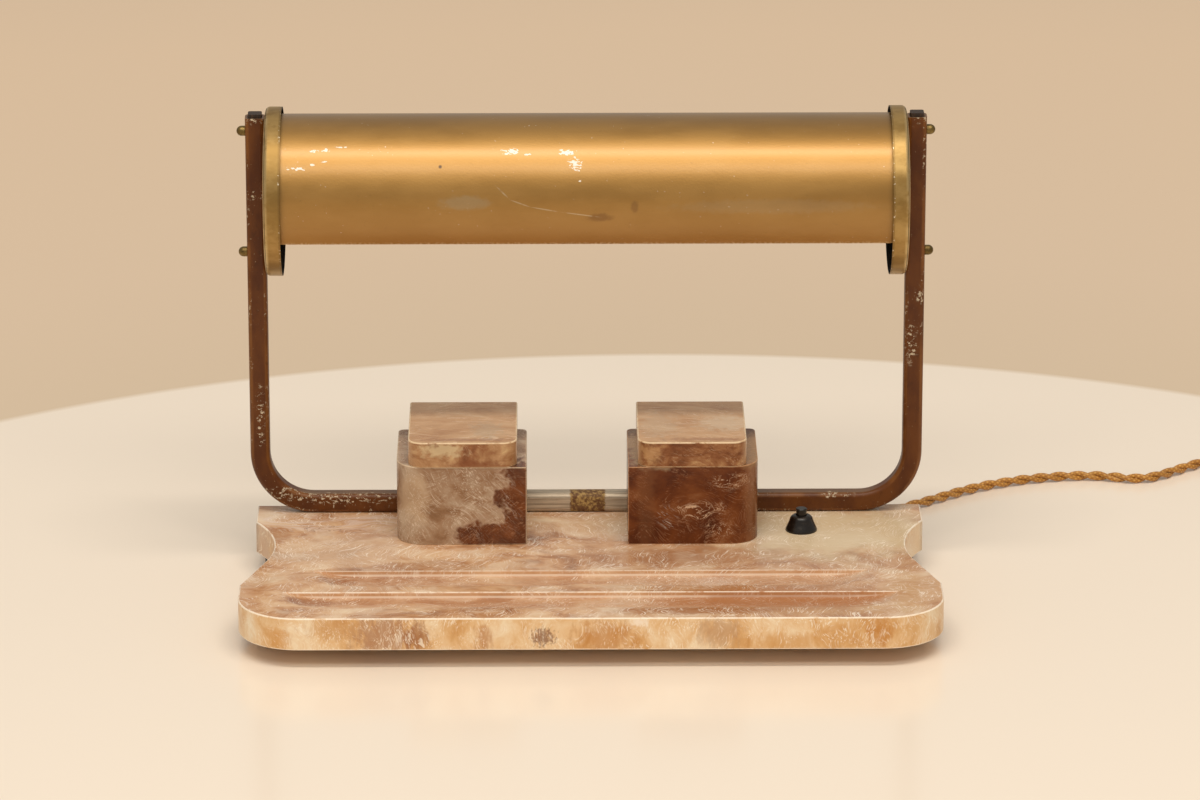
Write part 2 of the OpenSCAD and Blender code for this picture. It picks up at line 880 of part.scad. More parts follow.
module bulb_glass(side) {
  color("whitesmoke", 0.5)
    turned_on_axis(side)
      translate([0, holder_mouth])
        difference() {
          bulb_section(0);
          translate([0, -over])
            square([bulb_neck_r - bulb_glass_t, over + 1]);
          bulb_section(bulb_glass_t);
        }
}

module left_bulb_glass() {
  bulb_glass(-1);
}

module right_bulb_glass() {
  bulb_glass(1);
}

module bulb_caps() {
  color("tan")
    for (side = [-1, 1])
      turned_on_axis(side)
        translate([0, holder_mouth - bulb_cap_len])
          polygon([
            [0, 0], [bulb_cap_dia / 2 - 3.5, 0], [bulb_cap_dia / 2, 3.5],
            [bulb_cap_dia / 2, bulb_cap_len], [0, bulb_cap_len]
          ]);
}

module bulb_filaments() {
  foot_r = 3;
  foot_len = 4;
  foot_slope = 2;
  stem_r = 2;
  stem_len = 18;
  wire_r = 0.5;
  color("silver")
    for (side = [-1, 1])
      turned_on_axis(side)
        translate([0, holder_mouth])
          polygon([
            [0, 0], [foot_r, 0], [foot_r, foot_len], [stem_r, foot_len + foot_slope],
            [stem_r, stem_len], [wire_r, stem_len], [wire_r, filament_len], [0, filament_len]
          ]);
}

// The inkwells

module inkwell(side) {
  rebate_d = tube_back + tube_s / 2 + gap;
  color(side < 0 ? stone : stone_dark)
    on_side(side)
      from_rear(block_out(side), 0, top_z)
        difference() {
          linear_extrude(block_h)
            plate_outline(block_w, block_d, 0, block_corner_r, block_rear_r);
          translate([-block_w / 2 - over, -rebate_d, -over])
            cube([block_w + 2 * over, rebate_d + over, tube_s + gap + over]);
          translate([0, -pot_y, block_h - well_depth])
            cylinder(h = well_depth + over, r = well_r);
          for (x = [-1, 1])
            translate([x * block_screw_x, -block_screw_y, -over])
              cylinder(h = insert_len + over, d = insert_dia + 2 * fit);
        }
}

module left_inkwell() {
  inkwell(-1);
}

module right_inkwell() {
  inkwell(1);
}

module lid(side) {
  color(stone)
    on_side(side) {
      from_rear(block_out(side) - lid_shift, block_d + lid_front - lid_d, blocks_top_z)
        linear_extrude(lid_h)
          plate_outline(lid_w, lid_d, lid_front_r, lid_front_r, lid_rear_r);
      from_rear(block_out(side), pot_y, blocks_top_z - lid_step_h)
        cylinder(h = lid_step_h + over, r = lid_step_r);
    }
}

module left_lid() {
  lid(-1);
}

module right_lid() {
  lid(1);
}

module ink_pot(side) {
  color("lightsteelblue", 0.6)
    on_side(side)
      from_rear(block_out(side), pot_y, blocks_top_z - well_depth)
        difference() {
          cylinder(h = pot_h, d = pot_dia);
          translate([0, 0, pot_floor])
            cylinder(h = pot_h, r = pot_dia / 2 - pot_wall);
        }
}

module left_ink_pot() {
  ink_pot(-1);
}

module right_ink_pot() {
  ink_pot(1);
}

// Screws under the base

module at_block_screws() {
  for (side = [-1, 1], x = [-1, 1])
    from_rear(side * block_out(side) + x * block_screw_x, block_screw_y, 0)
      children();
}

module at_arm_screws() {
  for (side = [-1, 1])
    from_rear(side * arm_screw_x, tube_back, 0)
      children();
}

module block_inserts() {
  color(gold)
    at_block_screws()
      translate([0, 0, top_z])
        difference() {
          cylinder(h = insert_len, d = insert_dia);
          translate([0, 0, -over])
            cylinder(h = insert_len + 2 * over, d = block_screw_dia + 2 * fit);
        }
}

// Screw with a round slotted head, from below, up to the height given
module base_screw(dia, tip_z) {
  slot_w = 1.2;
  slot_h = 1.2;
  head_r = dia / 2 + 2;
  difference() {
    union() {
      translate([0, 0, head_top_z - head_h])
        cylinder(h = head_h, r = head_r);
      translate([0, 0, head_top_z - head_h])
        cylinder(h = tip_z - head_top_z + head_h, d = dia);
    }
    translate([-head_r - over, -slot_w / 2, head_top_z - head_h - over])
      cube([2 * head_r + 2 * over, slot_w, slot_h + over]);
  }
}

module block_screws() {
  color(steel)
    at_block_screws()
      base_screw(block_screw_dia, top_z + insert_len - 1);
}

module arm_screws() {
  color(steel)
    at_arm_screws()
      base_screw(arm_screw_dia, top_z + tube_wall + arm_nut_h);
}

module washer(dia) {
  translate([0, 0, head_top_z])
    difference() {
      cylinder(h = washer_t, r = washer_r);
      translate([0, 0, -over])
        cylinder(h = washer_t + 2 * over, d = dia + 4 * fit);
    }
}

module screw_washers() {
  color(steel) {
    at_block_screws()
      washer(block_screw_dia);
    at_arm_screws()
      washer(arm_screw_dia);
  }
}

module arm_nuts() {
  color(steel)
    at_arm_screws()
      translate([-arm_nut_len / 2, -arm_nut_w / 2, top_z + tube_wall])
        difference() {
          cube([arm_nut_len, arm_nut_w, arm_nut_h]);
          translate([arm_nut_len / 2, arm_nut_w / 2, -over])
            cylinder(h = arm_nut_h + 2 * over, d = arm_screw_dia + 2 * fit);
        }
}

// The push switch

module at_switch(z) {
  from_rear(base_shift + switch_x, switch_y, z)
    children();
}

module switch_body() {
  floor_z = switch_body_top_z - switch_body_h;
  color("saddlebrown")
    at_switch(0)
      difference() {
        union() {
          translate([0, 0, floor_z])
            cylinder(h = switch_body_h, d = switch_body_dia);
          translate([0, 0, floor_z])
            cylinder(h = neck_top_z - floor_z, r = neck_r);
        }
        translate([0, 0, spring_bottom_z])
          cylinder(h = neck_top_z - spring_bottom_z + over, d = button_stem_dia + 2 * fit);
      }
}

// Bell outline of the collar: each point is a share of the flare and of the height
module switch_collar() {
  top_r = button_stem_dia / 2 + gap + 0.6;
  flare = collar_dia / 2 - top_r;
  shape = [
    [1, 0], [1, 0.1], [0.85, 0.3], [0.68, 0.5], [0.58, 0.65], [0.49, 0.8], [0.4, 0.88], [0.23, 0.95], [0, 1]
  ];
  color(bakelite)
    at_switch(top_z)
      difference() {
        rotate_extrude()
          polygon(concat(
            [[0, 0]],
            [for (p = shape) [top_r + flare * p[0], collar_h * p[1]]],
            [[0, collar_h]]
          ));
        translate([0, 0, -over])
          cylinder(h = neck_top_z - top_z + over, r = neck_r + fit);
        cylinder(h = collar_h + over, d = button_stem_dia + 2 * gap);
      }
}

module switch_button() {
  top = top_z + collar_h + button_proud;
  crown = 0.5;
  color(bakelite)
    at_switch(0)
      rotate_extrude()
        polygon([
          [0, stem_bottom_z], [button_stem_dia / 2, stem_bottom_z],
          [button_stem_dia / 2, top - button_lip_h], [button_dia / 2, top - button_lip_h],
          [button_dia / 2, top - crown], [button_dia / 2 - crown, top], [0, top]
        ]);
}

module switch_spring() {
  steps = 12;
  low = spring_bottom_z + spring_wire_r + fit;
  high = stem_bottom_z - spring_wire_r - fit;
  path = [
    for (i = [0 : steps * spring_turns])
      let (a = 360 * i / steps, share = i / (steps * spring_turns))
        [spring_r * cos(a), spring_r * sin(a), low + (high - low) * share]
  ];
  color("silver")
    at_switch(0)
      swept_tube(path, spring_wire_r, 6);
}

// Wiring under the base and up the arms

module cord_bush() {
  bore = cord_r + cord_clear;
  color("saddlebrown")
    from_rear(base_shift + outlet_x, 0, wire_level)
      rotate([90, 0, 0])
        rotate_extrude()
          polygon([
            [bore, -bush_flange_t], [bush_flange_r - 0.7, -bush_flange_t], [bush_flange_r, -0.8],
            [bush_flange_r, 0], [bush_r, 0], [bush_r, bush_depth], [bore, bush_depth]
          ]);
}

module cord_clamp() {
  low = wire_level - cord_r - 2.5;
  color(steel)
    difference() {
      from_rear(base_shift + outlet_x - clamp_len / 2, clamp_back + clamp_w / 2, low)
        cube([clamp_len, clamp_w, wire_level - low]);
      from_rear(base_shift + outlet_x, clamp_back - clamp_w, wire_level)
        rotate([90, 0, 0])
          cylinder(h = 2 * clamp_w, r = cord_r + fit);
      for (x = [-1, 1])
        from_rear(base_shift + outlet_x + x * clamp_screw_x, clamp_back, low - over)
          cylinder(h = wire_level, r = wiring_screw_r + fit);
    }
}

module small_screw(head_z, tip_z) {
  translate([0, 0, head_z - wiring_head_h])
    cylinder(h = wiring_head_h, r = wiring_head_r);
  translate([0, 0, head_z - wiring_head_h])
    cylinder(h = tip_z - head_z + wiring_head_h, r = wiring_screw_r);
}

module wiring_screws() {
  tip = foot_h + channel_depth + 3.5;
  clamp_low = wire_level - cord_r - 2.5;
  terminal_low = foot_h + channel_depth - terminal_h + wiring_head_h;
  color(gold) {
    for (x = [-1, 1])
      from_rear(base_shift + outlet_x + x * clamp_screw_x, clamp_back, 0)
        small_screw(clamp_low, tip);
    from_rear(terminal_x, terminal_back, 0)
      small_screw(terminal_low, tip);
  }
}

module at_terminals() {
  for (x = [-1, 0, 1], y = [-1, 1])
    if (x != 0)
      from_rear(terminal_x + x * terminal_step, terminal_back + y * terminal_side, 0)
        children();
}

module terminal_block() {
  low = foot_h + channel_depth - terminal_h;
  color("ivory")
    difference() {
      from_rear(terminal_x - terminal_len / 2, terminal_back + terminal_w / 2, low)
        cube([terminal_len, terminal_w, terminal_h]);
      from_rear(terminal_x, terminal_back, low - over)
        cylinder(h = terminal_h + 2 * over, r = wiring_screw_r + fit);
      from_rear(terminal_x, terminal_back, low - over)
        cylinder(h = wiring_head_h + over, r = wiring_head_r + gap);
      at_terminals()
        translate([0, 0, low - over])
          cylinder(h = 5 + over, r = terminal_screw_r + fit);
    }
}

module terminal_screws() {
  low = foot_h + channel_depth - terminal_h;
  color(gold)
    at_terminals()
      translate([0, 0, low])
        cylinder(h = 5, r = terminal_screw_r);
}

module cord_tail() {
  outlet = base_shift + outlet_x;
  block_end = terminal_x + terminal_len / 2;
  color(silk)
    bent_wire([
      [outlet, rear_y + bush_flange_t, wire_level],
      [outlet, rear_y - tail_back, wire_level],
      [block_end, rear_y - tail_back, wire_level]
    ], [tail_bend], cord_r);
}

// Each lead lies off the middle of the tube, to pass behind the lower cap screw
module lamp_lead(side) {
  start = side * terminal_x + terminal_len / 2;
  up_x = arm_end_out(side) + wire_hole_in;
  lead_y = axis_y + lead_aside;
  color("peru")
    on_side(side)
      bent_wire([
        [start, rear_y - lamp_lead_back, wire_level],
        [up_x, rear_y - lamp_lead_back, wire_level],
        [up_x, lead_y, wire_level],
        [up_x, lead_y, tube_z],
        [arm_x, lead_y, tube_z],
        [arm_x, lead_y, axis_z],
        [cap_floor_x - nipple_in + 1, lead_y, axis_z]
      ], [lead_bend, lead_bend, lead_bend, bend_r, lead_end_bend], lead_dia / 2);
}

module left_lead() {
  lamp_lead(-1);
}

module right_lead() {
  lamp_lead(1);
}

module switch_lead() {
  start = terminal_x + terminal_len / 2;
  body_r = switch_body_dia / 2;
  beside = switch_y - switch_lead_back - lead_dia / 2;
  end = base_shift + switch_x - sqrt(pow(body_r, 2) - pow(beside, 2)) - fit;
  color("peru")
    wire_piece(
      [start, rear_y - switch_lead_back, wire_level],
      [end, rear_y - switch_lead_back, wire_level],
      lead_dia / 2
    );
}

// The mains cord on the table

function coil_start() =
  let (last = run_points[len(run_points) - 1])
    last + cord_dia * [sin(coil_start_angle), -cos(coil_start_angle), 0];
function coil_centre() = coil_start() - coil_r * [cos(coil_start_angle), sin(coil_start_angle), 0];
function coil_radius(turn) = coil_r - coil_pitch * min(turn, coil_turns - turn);
function coil_climb(turn) =
  let (share = max(0, min(1, (turn - coil_turns / 2) * 2 + 0.5)))
    coil_pitch * share * share * (3 - 2 * share);
function coil_point(turn) =
  let (a = coil_start_angle - 360 * turn, r = coil_radius(turn))
    coil_centre() + [r * cos(a), r * sin(a), coil_climb(turn)];
function coil_path() =
  let (steps = round(coil_rings * coil_turns), end = coil_point(coil_turns))
    concat(
      [run_points[len(run_points) - 1]],
      [for (i = [0 : steps]) coil_point(coil_turns * i / steps)],
      [end + [0, -cord_dia, 0]]
    );

// Least gap between two stretches of the coil that are over half a turn apart
function coil_gap() =
  let (path = coil_path(), apart = round(coil_rings / 2), last = len(path) - 1)
    min([for (i = [0 : last], j = [i + apart : 1 : last]) norm(path[i] - path[j])]) - cord_dia;

module cord_run() {
  color(silk)
    swept_tube(run_points, cord_r, cord_sides);
}

module cord_coil() {
  echo(coil_gap = coil_gap());
  color(silk)
    swept_tube(coil_path(), cord_r, coil_sides);
}

function coil_exit() = coil_point(coil_turns) + [0, -cord_dia, 0];
function plug_rear() = coil_exit() + coil_end_points[len(coil_end_points) - 1];

module cord_end() {
  color(silk)
    swept_tube([for (p = coil_end_points) coil_exit() + p], cord_r, cord_sides);
}

module coil_tie() {
  inner = coil_radius(coil_turns / 2) - cord_r;
  from = sqrt(pow(inner, 2) - pow(tie_w / 2, 2)) - gap;
  to = coil_r + cord_r + gap;
  low = coil_start()[2] - cord_r - gap;
  high = coil_start()[2] + coil_pitch + cord_r + gap;
  color("ivory")
    translate([coil_centre()[0], coil_centre()[1], 0])
      rotate([0, 0, tie_angle])
        translate([0, -tie_w / 2, 0])
          difference() {
            translate([from - tie_t, 0, low - tie_t])
              cube([to - from + 2 * tie_t, tie_w, high - low + 2 * tie_t]);
            translate([from, -over, low])
              cube([to - from, tie_w + 2 * over, high - low]);
          }
}

// The plug lies on the table with its pins towards the writer

module at_plug() {
  rear = plug_rear();
  translate([rear[0], rear[1] - plug_len + plug_grip, plug_dia / 2])
    rotate([-90, 0, 0])
      children();
}

module plug_base() {
  r = plug_dia / 2;
  color(bakelite)
    at_plug()
      difference() {
        rotate_extrude()
          polygon([[0, 0], [r - 1.5, 0], [r, 1.5], [r, plug_base_len], [0, plug_base_len]]);
        for (x = [-1, 1])
          translate([x * pin_gap / 2, 0, -over])
            cylinder(h = pin_root_len + over, d = pin_dia - pin_step + 2 * fit);
        translate([0, 0, -over])
          cylinder(h = plug_base_len + 2 * over, r = wiring_screw_r + fit);
        translate([0, 0, -over])
          cylinder(h = wiring_head_h + over, r = wiring_head_r + gap);
      }
}

module plug_cover() {
  r = plug_dia / 2;
  color(bakelite)
    at_plug()
      difference() {
        rotate_extrude()
          polygon([
            [0, plug_base_len], [r, plug_base_len], [r, plug_base_len + 5], [r - 1, plug_base_len + 8],
            [plug_neck_r + 1, plug_len - 8], [plug_neck_r, plug_len - 6], [plug_neck_r, plug_len - 1],
            [plug_neck_r - 1, plug_len], [0, plug_len]
          ]);
        translate([0, 0, plug_len - plug_grip])
          cylinder(h = plug_grip + over, r = cord_r + cord_clear);
        translate([0, 0, plug_base_len - over])
          cylinder(h = 9 + over, r = wiring_screw_r + fit);
      }
}

module plug_pins() {
  color(gold)
    at_plug()
      for (x = [-1, 1])
        translate([x * pin_gap / 2, 0, -pin_len]) {
          cylinder(h = pin_len, d = pin_dia);
          cylinder(h = pin_len + pin_root_len, d = pin_dia - pin_step);
        }
}

module plug_screw() {
  color(steel)
    at_plug()
      union() {
        cylinder(h = wiring_head_h, r = wiring_head_r);
        cylinder(h = plug_base_len + 8, r = wiring_screw_r);
      }
}

base_slab();
base_feet();
left_arm();
right_arm();
crossbar();
upright_plugs();
left_end_cap();
right_end_cap();
cap_screws();
cap_dome_nuts();
shade();
left_lampholder();
right_lampholder();
holder_nipples();
nipple_nuts();
left_bulb_glass();
right_bulb_glass();
bulb_caps();
bulb_filaments();
left_inkwell();
right_inkwell();
left_lid();
right_lid();
left_ink_pot();
right_ink_pot();
block_inserts();
block_screws();
screw_washers();
arm_screws();
arm_nuts();
switch_body();
switch_collar();
switch_button();
switch_spring();
cord_bush();
cord_clamp();
wiring_screws();
terminal_block();
terminal_screws();
cord_tail();
left_lead();
right_lead();
switch_lead();
cord_run();
cord_coil();
cord_end();
coil_tie();
plug_base();
plug_cover();
plug_pins();
plug_screw();
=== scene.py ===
# %% [markdown]
# # A desk lamp with a turning brass shade and two stone inkwells
#
# The lamp is an alabaster slab that carries a bent tube bracket, a brass shade that turns between two
# spun caps, two inkwells with loose lids, a push switch and a twisted silk cord. The solid model of it
# is loaded as a fixed frame, and this script gives it edges, finishes and details. Every object is in
# metres in that frame, so nothing has to be fitted by eye.

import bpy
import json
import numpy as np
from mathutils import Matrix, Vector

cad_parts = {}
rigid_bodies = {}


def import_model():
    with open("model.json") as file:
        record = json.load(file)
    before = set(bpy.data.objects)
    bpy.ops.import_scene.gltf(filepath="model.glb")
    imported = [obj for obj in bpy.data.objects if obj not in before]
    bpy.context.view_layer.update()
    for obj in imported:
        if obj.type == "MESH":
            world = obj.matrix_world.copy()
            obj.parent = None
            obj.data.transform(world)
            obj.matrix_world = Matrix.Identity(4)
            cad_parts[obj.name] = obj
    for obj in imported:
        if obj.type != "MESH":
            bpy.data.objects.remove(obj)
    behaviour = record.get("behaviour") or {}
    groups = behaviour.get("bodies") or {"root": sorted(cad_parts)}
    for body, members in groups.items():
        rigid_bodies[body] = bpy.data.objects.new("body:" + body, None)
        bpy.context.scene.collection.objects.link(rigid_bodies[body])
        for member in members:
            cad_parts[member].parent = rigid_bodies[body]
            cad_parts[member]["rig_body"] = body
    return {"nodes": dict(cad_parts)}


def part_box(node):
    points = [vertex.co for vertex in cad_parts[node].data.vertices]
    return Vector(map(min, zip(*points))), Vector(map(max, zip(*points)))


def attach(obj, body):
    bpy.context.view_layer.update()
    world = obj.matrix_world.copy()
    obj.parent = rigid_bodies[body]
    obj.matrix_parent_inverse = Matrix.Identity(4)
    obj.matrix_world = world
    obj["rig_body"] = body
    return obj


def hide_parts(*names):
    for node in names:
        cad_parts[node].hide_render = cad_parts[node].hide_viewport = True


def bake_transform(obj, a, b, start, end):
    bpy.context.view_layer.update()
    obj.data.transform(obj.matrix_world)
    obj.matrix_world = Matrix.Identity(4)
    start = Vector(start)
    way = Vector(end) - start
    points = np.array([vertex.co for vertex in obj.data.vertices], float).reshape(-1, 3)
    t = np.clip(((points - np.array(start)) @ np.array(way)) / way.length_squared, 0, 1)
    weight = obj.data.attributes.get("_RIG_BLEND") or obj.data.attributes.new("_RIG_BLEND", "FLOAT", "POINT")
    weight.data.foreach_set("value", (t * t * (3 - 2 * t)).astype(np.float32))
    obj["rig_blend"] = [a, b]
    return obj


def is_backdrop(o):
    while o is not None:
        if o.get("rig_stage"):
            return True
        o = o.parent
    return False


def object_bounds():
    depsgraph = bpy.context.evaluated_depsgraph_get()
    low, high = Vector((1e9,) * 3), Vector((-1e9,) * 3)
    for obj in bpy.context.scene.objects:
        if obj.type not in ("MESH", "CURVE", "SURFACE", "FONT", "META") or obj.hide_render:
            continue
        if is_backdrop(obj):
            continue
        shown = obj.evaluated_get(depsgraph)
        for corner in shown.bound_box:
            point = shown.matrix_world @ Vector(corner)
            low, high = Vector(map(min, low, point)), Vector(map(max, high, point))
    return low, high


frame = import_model()
cad_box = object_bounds()
nodes = frame["nodes"]

# %% Units and measures
import json
import math

import bmesh
import bpy
from mathutils import Matrix, Vector

MM = 0.001
scene = bpy.context.scene


def mm(*values):
    """Millimetres as a vector in metres."""
    return Vector([value * MM for value in values])


def middle(node):
    """The middle of a node's box."""
    low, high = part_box(node)
    return (Vector(low) + Vector(high)) / 2


axis = middle("holder_nipples")
axis.x = 0
slab_low, slab_high = [Vector(corner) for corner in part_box("base_slab")]
print("shade axis, mm:", [round(value / MM, 2) for value in axis])

# %% [markdown]
# ## The camera
#
# The photograph was taken from about 3.7 m away with a long lens, 18 degrees above the table and a
# little to the left of the lamp's middle. A long lens keeps the slab's sides almost parallel. The
# values below come from measuring the slab and the bracket in the photograph, and the picture is
# 1200 by 800.

# %% Camera
camera_data = bpy.data.cameras.new("photograph")
camera_data.sensor_width = 36
camera_data.lens = 192
camera_data.clip_end = 60
camera = bpy.data.objects.new("photograph", camera_data)
camera.location = mm(-24.2, -3672.3, 1319.5)
camera.rotation_euler = (math.radians(90 - 18), 0, math.radians(-0.5))
scene.collection.objects.link(camera)
scene.camera = camera
scene.view_settings.view_transform = "Standard"
print("camera", round(camera.location.length, 2), "m from the origin")

# %% [markdown]
# ## Colours and shader nodes
#
# Colours are picked from the real finishes as sRGB hex values, and a shader wants them linear. Shader
# networks are long in code, so one small function adds a node, sets its settings and fills or links
# its sockets. A colour ramp also takes its stops there, and a hex colour is turned to linear on the way.

# %% Colour and node helpers
OVER = {"data_type": "RGBA", "out": 2}


def linear(hex_colour):
    """An sRGB hex colour as the linear colour that a shader wants."""
    shares = [int(hex_colour[i:i + 2], 16) / 255 for i in (1, 3, 5)]
    return [s / 12.92 if s <= 0.04045 else ((s + 0.055) / 1.055) ** 2.4 for s in shares] + [1.0]


def add_node(material, kind, inputs=None, stops=None, out=0, **settings):
    """Adds a shader node with its settings and links, and returns the output that is asked for."""
    node = material.node_tree.nodes.new("ShaderNode" + kind)
    for name, value in settings.items():
        setattr(node, name, value)
    if stops:
        ramp = node.color_ramp
        ramp.elements[0].position = stops[0][0]
        ramp.elements[1].position = stops[-1][0]
        for place, _ in stops[1:-1]:
            ramp.elements.new(place)
        for element, (_, colour) in zip(ramp.elements, stops):
            element.color = linear(colour)
    for name, value in (inputs or {}).items():
        if isinstance(value, bpy.types.NodeSocket):
            material.node_tree.links.new(value, node.inputs[name])
        elif isinstance(value, str):
            node.inputs[name].default_value = linear(value)
        else:
            node.inputs[name].default_value = value
    return node.outputs[out] if node.outputs else node


def new_material(name):
    material = bpy.data.materials.new(name)
    material.use_nodes = True
    material.node_tree.nodes.clear()
    return material


print("orange as a shader sees it:", [round(value, 3) for value in linear("#ff8000")])

# %% [markdown]
# ## Patterns in real sizes
#
# Each pattern below is sized in millimetres of the real material. Grain gives coordinates in which one
# unit is that size, mottle turns cloudy noise into a mask, and patch is an egg-shaped place with a
# ragged edge. Paint then lays tints over a colour through such masks, in the order of a list, as thin
# coats would be laid. A layer with several masks shows only where all of them do.

# %% Pattern helpers
def grain(material, size, turn=(0, 0, 0), about=(0, 0, 0), place=None):
    """Coordinates in which one unit is size mm, with axes turned by degrees about a point in mm."""
    if place is None:
        place = add_node(material, "TexCoord", out=3)
    inputs = {
        "Vector": place,
        "Location": mm(*about),
        "Rotation": [math.radians(angle) for angle in turn],
        "Scale": mm(*size) if isinstance(size, tuple) else mm(size, size, size),
    }
    return add_node(material, "Mapping", inputs, vector_type="TEXTURE")


def mottle(material, size, low, high, top=1.0, turn=(0, 0, 0), about=(0, 0, 0), place=None, **noise):
    """A mask of cloudy noise, size in mm: 0 where the noise is under low, and top where it is over high."""
    inputs = {"Scale": 1.0, "Detail": 4.0, "Roughness": 0.6} | noise
    inputs["Vector"] = grain(material, size, turn, about, place)
    cloud = add_node(material, "TexNoise", inputs)
    inputs = {"Value": cloud, "From Min": low, "From Max": high, "To Max": top}
    return add_node(material, "MapRange", inputs, interpolation_type="SMOOTHSTEP")


def patch(material, centre, reach, ragged=8.0, edge=0.35, wild=1.6, detail=5.0):
    """1 inside an egg-shaped place in mm, and 0 beyond its edge, which noise makes ragged."""
    spot = grain(material, reach, about=centre)
    away = add_node(material, "VectorMath", {0: spot}, out=1, operation="LENGTH")
    inputs = {"Vector": grain(material, ragged), "Scale": 1.0, "Detail": detail, "Roughness": 0.65}
    rough = add_node(material, "TexNoise", inputs)
    away = add_node(material, "Math", {0: rough, 1: wild, 2: away}, operation="MULTIPLY_ADD")
    rim = 1 + wild / 2
    inputs = {"Value": away, "From Min": rim + edge, "From Max": rim - edge}
    return add_node(material, "MapRange", inputs, interpolation_type="SMOOTHSTEP")


def paint(material, colour, layers):
    """Lays tints over a colour. A layer is its mask or masks, how much of the colour it covers, and its tint."""
    for masks, cover, tint in layers:
        for mask in masks if isinstance(masks, tuple) else (masks,):
            cover = add_node(material, "Math", {0: mask, 1: cover}, operation="MULTIPLY")
        colour = add_node(material, "Mix", {0: cover, 6: colour, 7: tint}, **OVER)
    return colour


def facing(material, direction, stops):
    """A mask by how squarely a flat face looks along X, Y or Z, which are 0, 1 and 2."""
    normal = add_node(material, "NewGeometry", out=3)
    share = add_node(material, "SeparateXYZ", {"Vector": normal}, out=direction)
    share = add_node(material, "Math", {0: share}, operation="ABSOLUTE")
    return add_node(material, "ValToRGB", {"Fac": share}, stops)


def finish_surface(material, colour, roughness, height=None, depth=0.1, strength=0.5, **sockets):
    """Ends a material with one shader. height is a pattern of bumps that are depth mm deep."""
    inputs = {"Base Color": colour, "Roughness": roughness}
    for name, value in sockets.items():
        inputs[name.replace("_", " ")] = value
    if height is not None:
        bump = {"Height": height, "Distance": depth * MM, "Strength": strength}
        inputs["Normal"] = add_node(material, "Bump", bump)
    shader = add_node(material, "BsdfPrincipled", inputs)
    add_node(material, "OutputMaterial", {"Surface": shader})
    return material


print("pattern helpers ready")

# %% [markdown]
# ## The route of the cord
#
# The silk cord leaves the slab's rear edge through a bush, drops to the table and runs out to the
# right. The length that the photograph doesn't show is wound into a coil beyond the right edge of the
# picture, with a two-pin plug on its end. The points are the same ones that the solid model follows.

# %% Route of the cord, in millimetres
CORD_DIAMETER = 6.2
RUN_POINTS = [
    (167, 83.25, 20.5), (167, 90, 20.3), (167, 98, 19), (168.5, 109, 15.2), (172, 120.5, 10.3),
    (177.5, 131.5, 6.2), (185, 141, 3.9), (193.5, 149.5, 3.2), (202.5, 157.5, 3.2), (211.5, 165, 3.2),
    (222, 173.5, 3.2), (233, 183, 3.2), (244.5, 192, 3.2), (256.5, 200, 3.2), (269.5, 206.5, 3.2),
    (283, 212, 3.2), (297, 216, 3.2), (311, 218.5, 3.2), (325, 219, 3.2), (337, 217, 3.2),
    (349.5, 213.5, 3.2), (362, 215, 3.2), (373.5, 223, 3.2), (384, 232.5, 3.2), (395.5, 242, 3.3),
    (407.5, 251, 3.6), (420, 260, 3.9), (427, 265.2, 4), (433, 269.5, 4),
]
END_STEPS = [
    (0, -7, 0.2), (0, -14, 0.8), (0, -21, 2), (0, -28, 3.2), (0, -35, 4), (0, -42, 4.2),
]
COIL_TURNS = 6.35
COIL_RADIUS = 45.65
COIL_PITCH = 6.8
COIL_START = 126
COIL_RINGS = 24

start_turn = math.radians(COIL_START)
coil_start = mm(*RUN_POINTS[-1])
coil_start += CORD_DIAMETER * MM * Vector((math.sin(start_turn), -math.cos(start_turn), 0))
coil_middle = coil_start - COIL_RADIUS * MM * Vector((math.cos(start_turn), math.sin(start_turn), 0))


def coil_point(turn):
    """The turns wind in on the table, and out again on top of themselves."""
    angle = start_turn - 2 * math.pi * turn
    radius = COIL_RADIUS - COIL_PITCH * min(turn, COIL_TURNS - turn)
    share = max(0, min(1, (turn - COIL_TURNS / 2) * 2 + 0.5))
    climb = COIL_PITCH * share * share * (3 - 2 * share)
    return coil_middle + mm(radius * math.cos(angle), radius * math.sin(angle), climb)


coil_steps = round(COIL_RINGS * COIL_TURNS)
route = [mm(*point) for point in RUN_POINTS]
route += [coil_point(COIL_TURNS * step / coil_steps) for step in range(coil_steps + 1)]
coil_exit = route[-1] + mm(0, -CORD_DIAMETER, 0)
route += [coil_exit] + [coil_exit + mm(*step) for step in END_STEPS]
lengths = [(b - a).length for a, b in zip(route, route[1:])]
print("cord", round(sum(lengths), 3), "m, ends at", [round(v / MM, 2) for v in route[-1]])

# %% [markdown]
# ## Putting a finished mesh into the lamp
#
# Every finished piece needs the same four things: an object whose place is in its mesh, its finish,
# the body that it moves with, and the solid that it stands for. One function does them all, and it
# reads the body from the solid that is replaced, so a lid's finish can't be left behind. The one piece
# that gives, a spring, is spread between two bodies instead. A Weighted Normal modifier keeps flat
# faces flat up to their rounded edges, so that they reflect as ground and polished faces do.

# %% Piece helper
def add_piece(name, bm, materials, replaced, spread=None):
    """Turns a bmesh into a piece of the lamp that stands for the replaced nodes."""
    mesh = bpy.data.meshes.new(name)
    bm.to_mesh(mesh)
    bm.free()
    if "custom_normal" in mesh.attributes:
        mesh.attributes.remove(mesh.attributes["custom_normal"])
    for material in materials:
        mesh.materials.append(material)
    piece = bpy.data.objects.new(name, mesh)
    scene.collection.objects.link(piece)
    flat = piece.modifiers.new("flat_faces", "WEIGHTED_NORMAL")
    flat.keep_sharp = True
    if spread:
        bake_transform(piece, *spread)
    else:
        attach(piece, nodes[replaced[0]]["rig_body"])
    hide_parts(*replaced)
    return piece


